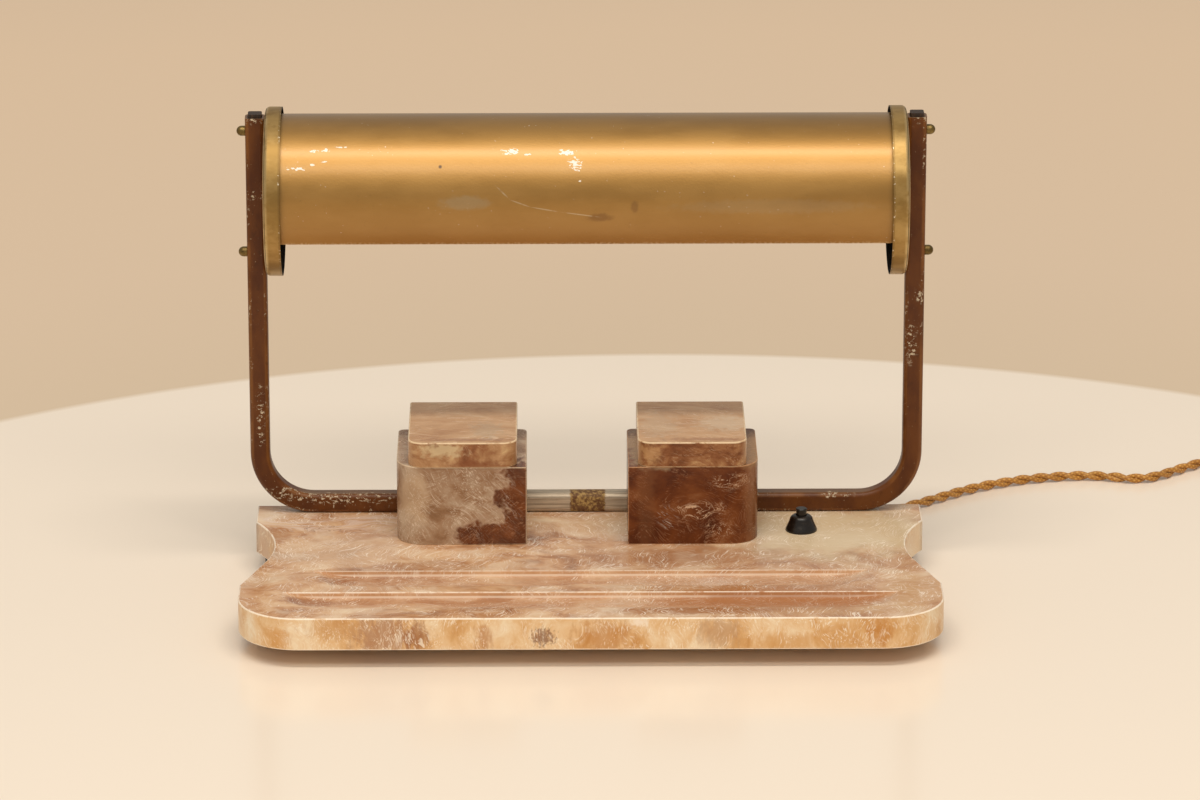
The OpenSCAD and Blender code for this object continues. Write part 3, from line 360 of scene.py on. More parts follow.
# %% [markdown]
# ## The twisted silk cord
#
# Old lamp cord is two rubber-covered wires, each in its own braid of artificial silk, twisted round
# each other. A single tube with a striped bump would look painted, so each braided strand is a real
# tube that winds round the route. Frames that are carried along the route without twisting of their
# own keep the lay even, because a frame built from "up" would flip where the cord turns.

# %% Strands of the cord
STRAND_LAY = 25
STRAND_RADIUS = CORD_DIAMETER / 4
RINGS_PER_LAY = 12
STRAND_SIDES = 10


def even_points(points, step):
    """Points on a smooth curve through the given ones, about one step apart."""
    result = []
    for i in range(len(points) - 1):
        before = points[max(i - 1, 0)]
        a, b = points[i], points[i + 1]
        after = points[min(i + 2, len(points) - 1)]
        count = max(1, round((b - a).length / step))
        for k in range(count):
            t = k / count
            bend = 2 * a + (b - before) * t
            bend += (2 * before - 5 * a + 4 * b - after) * t ** 2
            bend += (3 * a - before - 3 * b + after) * t ** 3
            result.append(bend / 2)
    return result + [points[-1]]


def carried_frames(points):
    """A sideways pair of directions at each point, carried along without twist."""
    last = len(points) - 1
    ahead = [(points[min(i + 1, last)] - points[max(i - 1, 0)]).normalized() for i in range(last + 1)]
    side = ahead[0].orthogonal().normalized()
    result = []
    for i, forward in enumerate(ahead):
        if i:
            side = ahead[i - 1].rotation_difference(forward) @ side
        side = (side - forward * side.dot(forward)).normalized()
        result.append((side, forward.cross(side)))
    return result


def add_tube(bm, points, radius, sides):
    """A closed tube along the points. Its UV map counts turns round it, and the same lengths along it."""
    uv = bm.loops.layers.uv.verify()
    rings = []
    for point, (side, up) in zip(points, carried_frames(points)):
        turn = [2 * math.pi * k / sides for k in range(sides)]
        rings.append([bm.verts.new(point + radius * (side * math.cos(a) + up * math.sin(a))) for a in turn])
    along = 0
    for i in range(len(rings) - 1):
        step = (points[i + 1] - points[i]).length / (2 * math.pi * radius)
        for k in range(sides):
            j = (k + 1) % sides
            face = bm.faces.new((rings[i][k], rings[i][j], rings[i + 1][j], rings[i + 1][k]))
            face.smooth = True
            corners = ((k, along), (k + 1, along), (k + 1, along + step), (k, along + step))
            for loop, (u, v) in zip(face.loops, corners):
                loop[uv].uv = (u / sides, v)
        along += step
    bm.faces.new(reversed(rings[0]))
    bm.faces.new(rings[-1])


def cord_silk_finish():
    """Braided artificial silk: smooth bright threads in a fine diagonal braid, with a soft sheen."""
    material = new_material("gold_brown_silk_braid")
    # Three threads each way round a strand, 2.3 mm apart, so that the braid closes on itself. The real
    # threads are half as far apart and would not show.
    threads = 3 * math.sqrt(2) * 2 * math.pi / 20
    uv = add_node(material, "TexCoord", out=2)
    slants = []
    for slant in (45, -45):
        turned = add_node(material, "Mapping", {"Vector": uv, "Rotation": (0, 0, math.radians(slant))})
        slants.append(add_node(material, "TexWave", {"Vector": turned, "Scale": threads}, out=1))
    braid = add_node(material, "Math", {0: slants[0], 1: slants[1]}, operation="MULTIPLY")
    tones = [(0.0, "#a66c22"), (0.35, "#c08838"), (0.9, "#d8a44e")]
    colour = add_node(material, "ValToRGB", {"Fac": braid}, tones)
    colour = paint(material, colour, [
        (mottle(material, 14, 0.42, 0.62), 0.35, "#8e5c1e"),
        (mottle(material, 9, 0.55, 0.7, about=(5, 3, 1)), 0.35, "#dcb06a"),
    ])
    return finish_surface(material, colour, 0.5, braid, 0.15, 0.5, Sheen_Weight=0.2, Sheen_Roughness=0.4)


cord_line = even_points(route, STRAND_LAY / RINGS_PER_LAY * MM)
cord_mesh = bmesh.new()
for strand in (0, 1):
    run = 0
    strand_line = []
    for i, (point, (side, up)) in enumerate(zip(cord_line, carried_frames(cord_line))):
        if i:
            run += (point - cord_line[i - 1]).length
        angle = 2 * math.pi * run / (STRAND_LAY * MM) + math.pi * strand
        strand_line.append(point + STRAND_RADIUS * MM * (side * math.cos(angle) + up * math.sin(angle)))
    add_tube(cord_mesh, strand_line, STRAND_RADIUS * MM, STRAND_SIDES)
cord_silk = cord_silk_finish()
cord = add_piece("silk_cord", cord_mesh, [cord_silk], ["cord_run", "cord_coil", "cord_end"])

# %% [markdown]
# ## Table and light
#
# The photograph shows a round cream table on a tan ground in soft, warm room light. The main light is
# high up and a little in front: it draws the bright band along the upper front of the shade, and the
# shade's narrow shadow on the rear of the lids. A second one lower down widens the band, a weak one
# fills in from the writer's side, and a pale world lights the rest evenly. The lamps are far away, so
# that the table is evenly bright. Table and ground are one level sheet, told apart by their colour.

# %% Floor and lamps
floor_mesh = bmesh.new()
bmesh.ops.create_grid(floor_mesh, x_segments=1, y_segments=1, size=14)
floor_data = bpy.data.meshes.new("cream_table")
floor_mesh.to_mesh(floor_data)
floor_mesh.free()
floor = bpy.data.objects.new("cream_table", floor_data)
scene.collection.objects.link(floor)
# Painted board with a half gloss. The ramp's full length is 2 m from the table's middle.
table_top = new_material("cream_table_top")
away = grain(table_top, 2000, about=(50, -250, 0))
away = add_node(table_top, "VectorMath", {0: away}, out=1, operation="LENGTH")
table_tones = [
    (0.0, "#f9ecdb"), (0.3695, "#f9ecdb"), (0.3705, "#dec7a9"), (0.495, "#e7cdae"), (0.8, "#f3d5b1"),
]
finish_surface(table_top, add_node(table_top, "ValToRGB", {"Fac": away}, table_tones), 0.16)
floor_data.materials.append(table_top)
floor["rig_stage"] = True

world = bpy.data.worlds.new("pale_room")
world.use_nodes = True
world.node_tree.nodes["Background"].inputs["Color"].default_value = linear("#fdf7ee")
world.node_tree.nodes["Background"].inputs["Strength"].default_value = 0.44
scene.world = world


def add_lamp(name, elevation, heading, distance, size, watts, colour, mirrored=True):
    """An area lamp that faces the middle of the lamp, and shows in glossy surfaces if it is mirrored."""
    data = bpy.data.lights.new(name, "AREA")
    data.shape = "RECTANGLE"
    data.size, data.size_y = size
    data.energy = watts
    data.color = linear(colour)[:3]
    lamp = bpy.data.objects.new(name, data)
    up, heading = math.radians(elevation), math.radians(heading)
    towards = Vector((math.sin(heading) * math.cos(up), -math.cos(heading) * math.cos(up), math.sin(up)))
    target = Vector((0, 0.02, 0.12))
    lamp.location = target + distance * towards
    lamp.rotation_euler = towards.to_track_quat("Z", "Y").to_euler()
    lamp.visible_glossy = mirrored
    scene.collection.objects.link(lamp)
    print(name, watts, "W at", [round(value, 2) for value in lamp.location])


add_lamp("ceiling_lamp", 75, 3, 4.8, (4.4, 0.5), 110, "#fff6ea")
add_lamp("window_lamp", 51, 3, 4.8, (4.4, 0.9), 62, "#fff6ea")
add_lamp("writer_fill", 19, -8, 4.0, (3.4, 1.4), 21, "#fff6ea", mirrored=False)

# %% [markdown]
# ## Copies of the solids
#
# Many pieces already have their true form in the solid model, as loose triangles with knife edges.
# A real piece has small rounded edges that catch the light. So the copy's triangles are merged, flat
# stretches become single faces, chosen edges are bevelled, and faces that meet at a small angle are
# shaded as one smooth surface. The bevel's new faces are marked, so a finish can paint them pale, as
# rubbed wear and as a painted highlight.

# %% Copy helpers
def copy_of(*names):
    """A merged copy of one or more nodes, with flat stretches made single faces."""
    bm = bmesh.new()
    for name in names:
        bm.from_mesh(nodes[name].data)
    bmesh.ops.remove_doubles(bm, verts=bm.verts, dist=0.002 * MM)
    everything = {"verts": bm.verts, "edges": bm.edges}
    bmesh.ops.dissolve_limit(bm, angle_limit=math.radians(0.4), use_dissolve_boundaries=False, **everything)
    bm.faces.layers.float.new("worn_and_highlit_edge")
    return bm


def is_sharp(edge, degrees=30):
    return len(edge.link_faces) == 2 and edge.calc_face_angle(0) > math.radians(degrees)


def round_edges(bm, radius, chosen=is_sharp, segments=3, clamp=True):
    """Bevels the chosen edges to about the radius, in mm, and marks the new faces for pale wear and highlight paint.
    """
    worn_and_highlit_edge = bm.faces.layers.float["worn_and_highlit_edge"]
    edges = [edge for edge in bm.edges if is_sharp(edge) and chosen(edge)]
    settings = {"offset_type": "OFFSET", "segments": segments, "profile": 0.5}
    settings |= {"affect": "EDGES", "clamp_overlap": clamp, "material": -1}
    for face in bmesh.ops.bevel(bm, geom=edges, offset=radius * MM, **settings)["faces"]:
        face[worn_and_highlit_edge] = 1
    return len(edges)


def shade_smooth(bm, degrees=32):
    for face in bm.faces:
        face.smooth = True
    for edge in bm.edges:
        edge.smooth = not is_sharp(edge, degrees)


def finish_copy(name, material, radius=0, segments=2, spread=None):
    """A smooth copy of one node, with its sharp edges rounded if a radius is given."""
    bm = copy_of(name)
    if radius:
        round_edges(bm, radius, segments=segments)
    shade_smooth(bm)
    return add_piece(name + "_finished", bm, [material], [name], spread)


print("copies can be made of", len(nodes), "solids")

# %% [markdown]
# ## Alabaster
#
# Banded alabaster is a soft, slightly clear stone: clouds of cream, tan and russet with white silky
# fibres that sweep through them, and thin bright wisps. Its colours aren't painted on, they go right
# through, so the pattern is a solid one on object coordinates. Slow clouds pick the tone, long narrow
# noise draws the fibres, and the line where another noise crosses its middle value gives the wisps. A
# slow warp bends them all. The polish is old: glossy, with pale edges that are partly rubbed wear and
# partly a painted highlight.

# %% Stone helpers
def bent_place(material, size, reach):
    """Object coordinates that slow noise of a size in mm pushes about reach mm to and fro."""
    drift = add_node(material, "TexNoise", {"Vector": grain(material, size), "Scale": 1.0, "Detail": 2.0}, out=1)
    drift = add_node(material, "VectorMath", {0: drift, 1: (0.5, 0.5, 0.5)}, operation="SUBTRACT")
    # The noise stays within about a fifth of its middle value
    push = (5 * reach * MM,) * 3
    place = add_node(material, "TexCoord", out=3)
    return add_node(material, "VectorMath", {0: drift, 1: push, 2: place}, operation="MULTIPLY_ADD")


def stone_clouds(material, place, size, tones, turn=(0, 0, 0)):
    """The stone's own colour: detailed noise read through its tones."""
    inputs = {"Vector": grain(material, size, turn, place=place)}
    cloud = add_node(material, "TexNoise", inputs | {"Scale": 1.0, "Detail": 8.0, "Roughness": 0.62})
    return add_node(material, "ValToRGB", {"Fac": cloud}, tones)


def silky_fibres(material, place, size, turn, spread, about=(0, 0, 0), detail=3.0):
    """White fibres: long thin noise that comes and goes in patches of spread mm."""
    inputs = {"turn": turn, "about": about, "place": place, "Detail": detail, "Roughness": 0.7}
    fibres = mottle(material, size, 0.53, 0.67, **inputs)
    some = mottle(material, spread, 0.42, 0.58, about=(about[0] + 31, 7, 11), place=place)
    return add_node(material, "Math", {0: fibres, 1: some}, operation="MULTIPLY")


def thin_wisps(material, place, size, where, about=(0, 0, 0), turn=(0, 0, 0)):
    """Crisp bright lines, in the places that a mask allows."""
    inputs = {"Vector": grain(material, size, turn, about, place), "Distortion": 0.8}
    line = add_node(material, "TexNoise", inputs | {"Scale": 1.0, "Detail": 5.0, "Roughness": 0.62})
    stops = [(0.488, "#000000"), (0.5, "#ffffff"), (0.512, "#000000")]
    line = add_node(material, "ValToRGB", {"Fac": line}, stops)
    return add_node(material, "Math", {0: line, 1: where}, operation="MULTIPLY")


def finish_stone(material, colour, fibres, roughness=0.22, rubbed_and_highlit="#f0dfc6", share=0.75):
    """Old polish, with hazy fibres, and edges painted pale in stretches, partly as rubbed wear and partly as a
    painted highlight.
    """
    # Rubbed wear and a painted highlight: the bevel faces are painted pale in stretches.
    worn_and_highlit_edge = add_node(material, "Attribute", out=2, attribute_name="worn_and_highlit_edge")
    stretches = mottle(material, 5, 0.28, 0.50)
    colour = paint(material, colour, [((worn_and_highlit_edge, stretches), share, rubbed_and_highlit)])
    haze = add_node(material, "Math", {0: fibres, 1: 0.14, 2: roughness}, operation="MULTIPLY_ADD")
    pits = mottle(material, 2.2, 0.25, 0.55, Detail=3.0)
    return finish_surface(material, colour, haze, pits, 0.06, 0.25, Specular_IOR_Level=0.3)


print("stone helpers ready")

# %% [markdown]
# ## The slab's top
#
# The slab is sawn from banded alabaster and ground to its curved outline. Its top is tan and cream
# with short silky fibres that run from front to rear, cream-yellow behind the switch, and streaked
# pinkish white along the bracket on the left. The floors of the two pen grooves are tinted darker and
# more russet. Their upright walls are painted lighter, a painted light that makes them as bright as the
# top, and a painted highlight runs along the foot of each wall.

# %% Stone of the slab's top
def slab_top_stone():
    """Polished alabaster, sawn along its bedding."""
    material = new_material("banded_alabaster_top")
    place = bent_place(material, (60, 40, 40), 11)
    colour = stone_clouds(material, place, (42, 30, 30), [
        (0.30, "#8e5c3a"), (0.41, "#b07c52"), (0.48, "#c8986e"), (0.55, "#dab28a"), (0.66, "#ead0ae"),
    ])
    slow = silky_fibres(material, place, (12, 0.9, 6), (0, 0, 64), 24)
    cross = silky_fibres(material, place, (9, 0.8, 6), (0, 0, 118), 20, (11, 4, 2))
    level = silky_fibres(material, place, (16, 1.0, 6), (0, 0, 4), 30, (3, 14, 5))
    height = add_node(material, "SeparateXYZ", {"Vector": grain(material, 1)}, out=2)
    top = slab_high.z / MM
    inputs = {"Value": height, "From Min": top - 0.4, "From Max": top - 2.6}
    wall = facing(material, 1, [(0.6, "#000000"), (0.85, "#ffffff")])
    in_groove = add_node(material, "MapRange", inputs)
    inputs = {"Value": height, "From Min": top - 2.2, "From Max": top - 2.7}
    low_down = add_node(material, "MapRange", inputs)
    streaks = mottle(material, (38, 2.4, 20), 0.44, 0.62, place=place, about=(5, 3, 1))
    by_the_arm = patch(material, (-155, 50, top), (46, 15, 30), 12)
    wavy = thin_wisps(material, place, (60, 16, 30), patch(material, (-150, 36, top), (34, 7, 20), 9))
    brown = "#a06e4a"
    colour = paint(material, colour, [
        (mottle(material, 60, 0.42, 0.62, about=(9, 2, 1)), 0.35, "#b08a72"),
        (mottle(material, (34, 20, 20), 0.50, 0.68, place=place, about=(5, 1, 3)), 0.5, "#e6d0b6"),
        (patch(material, (-150, -5, top), (42, 28, 30), 18, 0.5), 0.5, "#ddbb96"),
        (patch(material, (152, 30, top), (78, 46, 40), 20, 0.45), 0.85, "#d9c4a0"),
        (patch(material, (60, -14, top), (62, 17, 30), 12), 0.5, "#ad7d58"),
        (patch(material, (-92, -34, top), (28, 13, 20), 9), 0.5, brown),
        (patch(material, (-190, 26, top), (11, 16, 20), 7), 0.6, "#a8724e"),
        (patch(material, (130, -108, top), (62, 13, 30), 14), 0.5, "#c8a070"),
        (patch(material, (76, -55, top), (13, 12, 20), 7), 0.6, "#ead6c2"),
        ((streaks, by_the_arm), 0.75, "#e4cdbd"),
        (wavy, 0.8, "#8d5c3e"),
        (patch(material, (110, -90, top), (70, 25, 20), 16), 0.85, "#b27c4e"),
        (patch(material, (62, -112, top), (46, 6, 20), (14, 4, 9)), 0.75, "#a2683c"),
        (patch(material, (30, 45, top), (45, 22, 20), 12), 0.55, "#dabc98"),
        (patch(material, (196, -76, top), (20, 24, 20), 9), 0.7, "#c99f74"),
        # The groove floors are tinted darker and more russet.
        (in_groove, 0.36, "#a9704e"),
        # Painted light: the upright groove walls are painted lighter, and a painted highlight runs along the foot of
        # each wall.
        (wall, 0.5, "#e2b182"),
        ((wall, low_down), 0.75, "#fff0da"),
        (patch(material, (-151, -54, top), (11, 9, 20), 6), 0.7, "#95592f"),
        (patch(material, (-165, -91, top), (16, 9, 20), 7), 0.7, "#8f5634"),
        (level, 0.45, "#f2dfc8"),
        (slow, 0.85, "#f6e8d6"),
        (cross, 0.7, "#f6e8d6"),
        (patch(material, (112, -86, top), (66, 13, 20), (30, 8, 9)), 0.5, "#ab6a38"),
    ])
    return finish_stone(material, colour, slow, 0.2, "#fff4e2", 0.7)


top_stone = slab_top_stone()
print("top of the slab:", len(top_stone.node_tree.nodes), "nodes")

# %% [markdown]
# ## The slab's rim
#
# Light goes a little way into the rim, so it glows amber and cream. That glow is painted into the rim's
# tones, lighter and warmer than the top's, with upright bands and a few brown clouds. The brown places
# are patches at their real positions, measured on the photograph.

# %% Stone of the slab's rim
RIM_SPOTS = [
    ((-183, -122, 19), (6, 20, 7), "#c98a3c", 0.55), ((-120, -124, 21), (17, 20, 13), "#a9795a", 0.75),
    ((-101, -124, 20), (7, 20, 9), "#96592c", 0.65), ((-62, -124, 18), (5, 20, 7), "#b06c28", 0.65),
    ((10, -124, 20), (16, 20, 10), "#b8762f", 0.6), ((30, -124, 29), (5, 20, 3), "#f6e6d2", 0.85),
    ((77, -124, 22), (12, 20, 9), "#b38a68", 0.55), ((172, -116, 22), (9, 20, 8), "#bd7a30", 0.65),
    ((-151, -124, 25), (14, 20, 6), "#c99a68", 0.5), ((120, -124, 16), (22, 20, 5), "#c98f48", 0.5),
]


def slab_rim_glow_stone():
    """The same alabaster, sawn across its bedding and ground with a fine wheel, in lighter and warmer tones that
    paint the glow of light through the stone.
    """
    material = new_material("banded_alabaster_rim_painted_glow")
    place = bent_place(material, (30, 30, 30), 6)
    # Painted glow: the rim's tones are lighter and warmer than the top's, for light that comes out through the stone.
    colour = stone_clouds(material, place, (20, 20, 34), [
        (0.30, "#c48c50"), (0.41, "#d5a56c"), (0.50, "#e1b988"), (0.58, "#e8c89e"), (0.70, "#f1debf"),
    ])
    upright = silky_fibres(material, place, (16, 0.8, 0.8), (0, 90, 0), 14, detail=1.0)
    leaning = silky_fibres(material, place, (12, 0.8, 0.8), (0, 66, 0), 18, (4, 8, 2), 1.5)
    layers = []
    for centre, reach, tint, share in RIM_SPOTS:
        layers.append((patch(material, centre, reach, (4, 4, 11), 0.5, 3.2), share, tint))
    star = patch(material, (-27, -124, 19.5), (6, 20, 5), (1.6, 1.6, 2.4), 0.4, 3.6)
    cracks = thin_wisps(material, place, (7, 7, 40), patch(material, (-113, -124, 20), (9, 20, 14), 6))
    corner = patch(material, (-172, -122, 22), (7, 20, 9), 6)
    colour = paint(material, colour, layers + [
        (patch(material, (-204, 50, 20), (14, 34, 16), 8), 0.75, "#c7a68c"),
        (patch(material, (206, 50, 20), (14, 34, 16), 8), 0.7, "#e6cdac"),
        (star, 0.75, "#7a4a32"),
        (upright, 0.7, "#f8ead4"),
        (leaning, 0.45, "#f6e6ce"),
        (cracks, 0.9, "#f8ecda"),
        (thin_wisps(material, place, (8, 8, 20), corner, (3, 1, 2)), 0.7, "#f8ecda"),
        (mottle(material, 1.4, 0.74, 0.78), 0.7, "#7a4a28"),
    ])
    return finish_stone(material, colour, upright, 0.3, "#fff4e2", 0.7)


rim_glow_stone = slab_rim_glow_stone()
print("rim of the slab:", len(rim_glow_stone.node_tree.nodes), "nodes")

# %% [markdown]
# ## Edges of the slab
#
# The rim's faces are told from the others because they stand upright and are as high as the slab. They
# and the underside get the rim's stone before the edges are bevelled, so the bevels take their stone
# from their neighbours. The rim's edges are worn round to about a millimetre, and the grooves' walls to
# less. Clamping these bevels against the narrow faces that end on them would leave them no width, so
# they aren't clamped. The faces beside them are wide enough.

# %% Slab
RIM_RADIUS = 0.8
GROOVE_EDGE_RADIUS = 0.7
slab = copy_of("base_slab")
slab_height = slab_high.z - slab_low.z


def on_rim(face):
    """True for the faces of the outline, which stand upright from the underside to the top."""
    heights = [corner.co.z for corner in face.verts]
    return abs(face.normal.z) < 0.1 and max(heights) - min(heights) > slab_height - 1e-6


def on_outline(edge):
    """True for the level edges between the outline and the top or the underside."""
    return abs(edge.verts[0].co.z - edge.verts[1].co.z) < 1e-6 and any(map(on_rim, edge.link_faces))


def on_groove(edge):
    """True for the long top edges of the grooves' walls."""
    on_top = min(corner.co.z for corner in edge.verts) > slab_high.z - 1e-6
    return on_top and edge.calc_length() > 0.2 and not on_outline(edge)


# The underside takes the rim's painted glow too, which warms the light that bounces under the slab.
for face in slab.faces:
    face.material_index = int(on_rim(face) or face.normal.z < -0.9)
print(round_edges(slab, GROOVE_EDGE_RADIUS, on_groove, 2, clamp=False), "groove edges,", end=" ")
print(round_edges(slab, RIM_RADIUS, on_outline, clamp=False), "rim edges")
shade_smooth(slab)
add_piece("alabaster_slab", slab, [top_stone, rim_glow_stone], ["base_slab"])

# %% [markdown]
# ## Left inkwell
#
# Each block is sawn to a box with one round corner and drilled for its glass pot. The left one is
# beige-grey with white fibres that sweep down to the right in curves. A deep russet mass fills its
# right side and lower right corner, with a ragged border of cream.

# %% Left block
def left_block_stone():
    """Beige alabaster with a russet mass."""
    material = new_material("beige_alabaster")
    place = bent_place(material, (60, 50, 50), 8)
    colour = stone_clouds(material, place, (22, 16, 16), [
        (0.30, "#7b5a3e"), (0.42, "#916e50"), (0.50, "#a28265"), (0.58, "#b0967c"), (0.70, "#c4ae94"),
    ], (0, 40, 0))
    sweep = silky_fibres(material, place, (26, 0.6, 0.6), (0, 52, 0), 16, detail=1.5)
    cross = silky_fibres(material, place, (20, 0.6, 0.6), (0, -32, 0), 14, (7, 2, 9), 1.5)
    side = patch(material, (-37, -2, 60), (17, 26, 44), 15, 0.2, 1.6, 3.0)
    lower = patch(material, (-52, -2, 36), (33, 44, 13), 15, 0.2, 1.6, 3.0)
    russet = add_node(material, "Math", {0: side, 1: lower}, operation="MAXIMUM")
    border = [(0.02, "#000000"), (0.40, "#ffffff"), (0.90, "#000000")]
    border = add_node(material, "ValToRGB", {"Fac": russet}, border)
    russet_tone = stone_clouds(material, place, (14, 14, 14), [
        (0.32, "#431904"), (0.50, "#5a280a"), (0.66, "#743d19"),
    ])
    middle_wisps = patch(material, (-62, 7, 60), (22, 40, 24), 9)
    colour = paint(material, colour, [
        (patch(material, (-105, 7, 62), (9, 20, 16), 9), 0.55, "#c9ad8c"),
        (patch(material, (-70, 7, 80), (30, 20, 9), 9), 0.35, "#8a6446"),
        (sweep, 0.75, "#d8c5ae"),
        (cross, 0.6, "#d2bea8"),
        (russet, 0.93, russet_tone),
        (border, 0.45, "#ccb094"),
        (thin_wisps(material, place, (46, 9, 9), middle_wisps, turn=(0, 54, 0)), 0.5, "#dccbb8"),
        ((cross, russet), 0.4, "#b98a66"),
    ])
    return finish_stone(material, colour, sweep, 0.24, "#dcc3a2", 0.55)


def add_block(node, stone):
    block = copy_of(node)
    count = round_edges(block, 0.9)
    shade_smooth(block)
    print(count, "edges rounded,", end=" ")
    return add_piece(node + "_block", block, [stone], [node])


add_block("left_inkwell", left_block_stone())

# %% [markdown]
# ## Right inkwell
#
# The right block is dark russet, like polished liver stone. Cream wisps gather in two or three
# clusters, with a soft grey flare low on the left and a paler band up its right side.

# %% Right block
def right_block_stone():
    """Russet alabaster with cream wisps."""
    material = new_material("russet_alabaster")
    place = bent_place(material, (50, 44, 44), 8)
    colour = stone_clouds(material, place, (26, 20, 24), [
        (0.30, "#3e1b08"), (0.42, "#55260c"), (0.50, "#663313"), (0.58, "#76411e"), (0.70, "#8a5a38"),
    ])
    faint = silky_fibres(material, place, (22, 0.6, 0.6), (0, 20, 0), 14, detail=1.5)
    first = patch(material, (70, 7, 53), (15, 30, 6), 7)
    second = patch(material, (88, 7, 71), (13, 30, 5), 7)
    third = patch(material, (81, 7, 41), (10, 30, 4), 7)
    some = add_node(material, "Math", {0: first, 1: second}, operation="MAXIMUM")
    some = add_node(material, "Math", {0: some, 1: third}, operation="MAXIMUM")
    leaning = silky_fibres(material, place, (16, 0.8, 0.8), (0, 50, 0), 40, (2, 9, 4), 1.5)
    low_left = patch(material, (48, 7, 49), (6, 20, 7), 6)
    painted_light_beside_lid = patch(material, (40, 50, 81), (16, 40, 4), 9)
    wide_places = mottle(material, 16, 0.52, 0.62)
    colour = paint(material, colour, [
        (patch(material, (101, 7, 58), (5, 20, 30), 8), 0.35, "#9a6a44"),
        (patch(material, (36, 7, 58), (5, 20, 30), 8), 0.3, "#7d5233"),
        # Painted light: the block's top beside the lid is painted a paler tan on both sides of it, to lift the
        # shading that the top faces get.
        (painted_light_beside_lid, 0.8, "#b59a78"),
        (patch(material, (104, 40, 82), (10, 36, 6), 9), 0.75, "#a8865c"),
        (faint, 0.3, "#a87a58"),
        ((leaning, low_left), 0.8, "#b9aa9c"),
        (thin_wisps(material, place, (34, 8, 8), some, turn=(0, 14, 0)), 0.8, "#e6c6a6"),
        (thin_wisps(material, place, (22, 7, 6), some, (3, 8, 1), (0, -8, 0)), 0.8, "#dcb894"),
        (thin_wisps(material, place, (40, 12, 14), wide_places, (7, 1, 4), (0, 24, 0)), 0.4, "#c49a78"),
    ])
    return finish_stone(material, colour, faint, 0.24, "#c9996e", 0.6)


add_block("right_inkwell", right_block_stone())

# %% [markdown]
# ## Lids
#
# The lids are flat slabs with a round step underneath that centres them in the pots. Their tops have
# soft level streaks, and their fronts, cut across the bedding, are darker and mottled. Their front top
# edges are the ones that fingers and sleeves have polished, so they are rounder than others. All their
# rounded edges are painted pale, partly as rubbed wear and partly as a painted highlight.

# %% Lid stone
def lid_stone(name, turn, front_tones, patches):
    """Tan alabaster: streaked on top, mottled where the face looks forward."""
    material = new_material(name)
    place = bent_place(material, (40, 24, 24), 5)
    top = stone_clouds(material, place, (34, 14, 20), [
        (0.30, "#aa7a50"), (0.42, "#ba8d63"), (0.50, "#c2976d"), (0.58, "#c99f76"), (0.70, "#d3b08a"),
    ], (0, 0, turn))
    front = stone_clouds(material, place, (11, 20, 7), front_tones)
    level = silky_fibres(material, place, (24, 0.7, 4), (0, 0, turn), 18, detail=2.0)
    top = paint(material, top, [(level, 0.5, "#e6cfb4")])
    front = paint(material, front, [
        (silky_fibres(material, place, (7, 0.7, 0.7), (0, 30, 0), 9, (6, 2, 4)), 0.5, "#cfae88"),
    ])
    forward = facing(material, 1, [(0.45, "#000000"), (0.75, "#ffffff")])
    colour = add_node(material, "Mix", {0: forward, 6: top, 7: front}, **OVER)
    colour = paint(material, colour, [
        (patch(material, centre, reach, 4, 0.5, 3.0), share, tint) for centre, reach, tint, share in patches
    ])
    return finish_stone(material, colour, level, 0.22, "#ecd3ac", 0.8)


left_lid_stone = lid_stone("streaked_alabaster_left", 3, [
    (0.30, "#7c4a2a"), (0.42, "#966440"), (0.50, "#a67a52"), (0.60, "#b98f66"), (0.70, "#d0b080"),
], [
    ((-88, 6, 92), (11, 6, 4), "#d8c298", 0.75), ((-68, 6, 83), (14, 6, 3), "#7d4526", 0.6),
    ((-74, 13, 97), (26, 2.6, 3), "#8a5534", 0.5), ((-61, 32, 97), (9, 14, 4), "#b3a086", 0.4),
])
right_lid_stone = lid_stone("streaked_alabaster_right", -14, [
    (0.30, "#633618"), (0.42, "#774523"), (0.50, "#875430"), (0.60, "#9e6e46"), (0.70, "#c0986a"),
], [
    ((85, 44, 97), (15, 14, 4), "#d2bca0", 0.6), ((44, 40, 97), (11, 22, 4), "#c4aa8c", 0.5),
    ((72, 13, 97), (24, 2.6, 3), "#8a5534", 0.45), ((38, 6, 90), (5, 6, 6), "#c99e6c", 0.6),
])
print("lid stones:", len(left_lid_stone.node_tree.nodes), "nodes each")

# %% Lids
for node, stone in (("left_lid", left_lid_stone), ("right_lid", right_lid_stone)):
    lid = copy_of(node)
    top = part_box(node)[1][2]
    print(round_edges(lid, 0.8, lambda edge: min(v.co.z for v in edge.verts) > top - 1e-5), "top,", end=" ")
    print(round_edges(lid, 0.5, lambda edge: is_sharp(edge, 60)), "other edges,", end=" ")
    shade_smooth(lid)
    add_piece(node + "_stone", lid, [stone], [node])

# %% [markdown]
# ## Bracket arms
#
# The arms are square steel tube, bent on a former and sprayed with a thin brown lacquer. Years of
# handling have chipped it along the edges, where a cream primer shows. A flat face of the square
# tube looks straight along Y or straight across it, and only the rounded corners look between, so the
# share of Y in the face's direction is a mask for the edges that follows the tube round its bend.

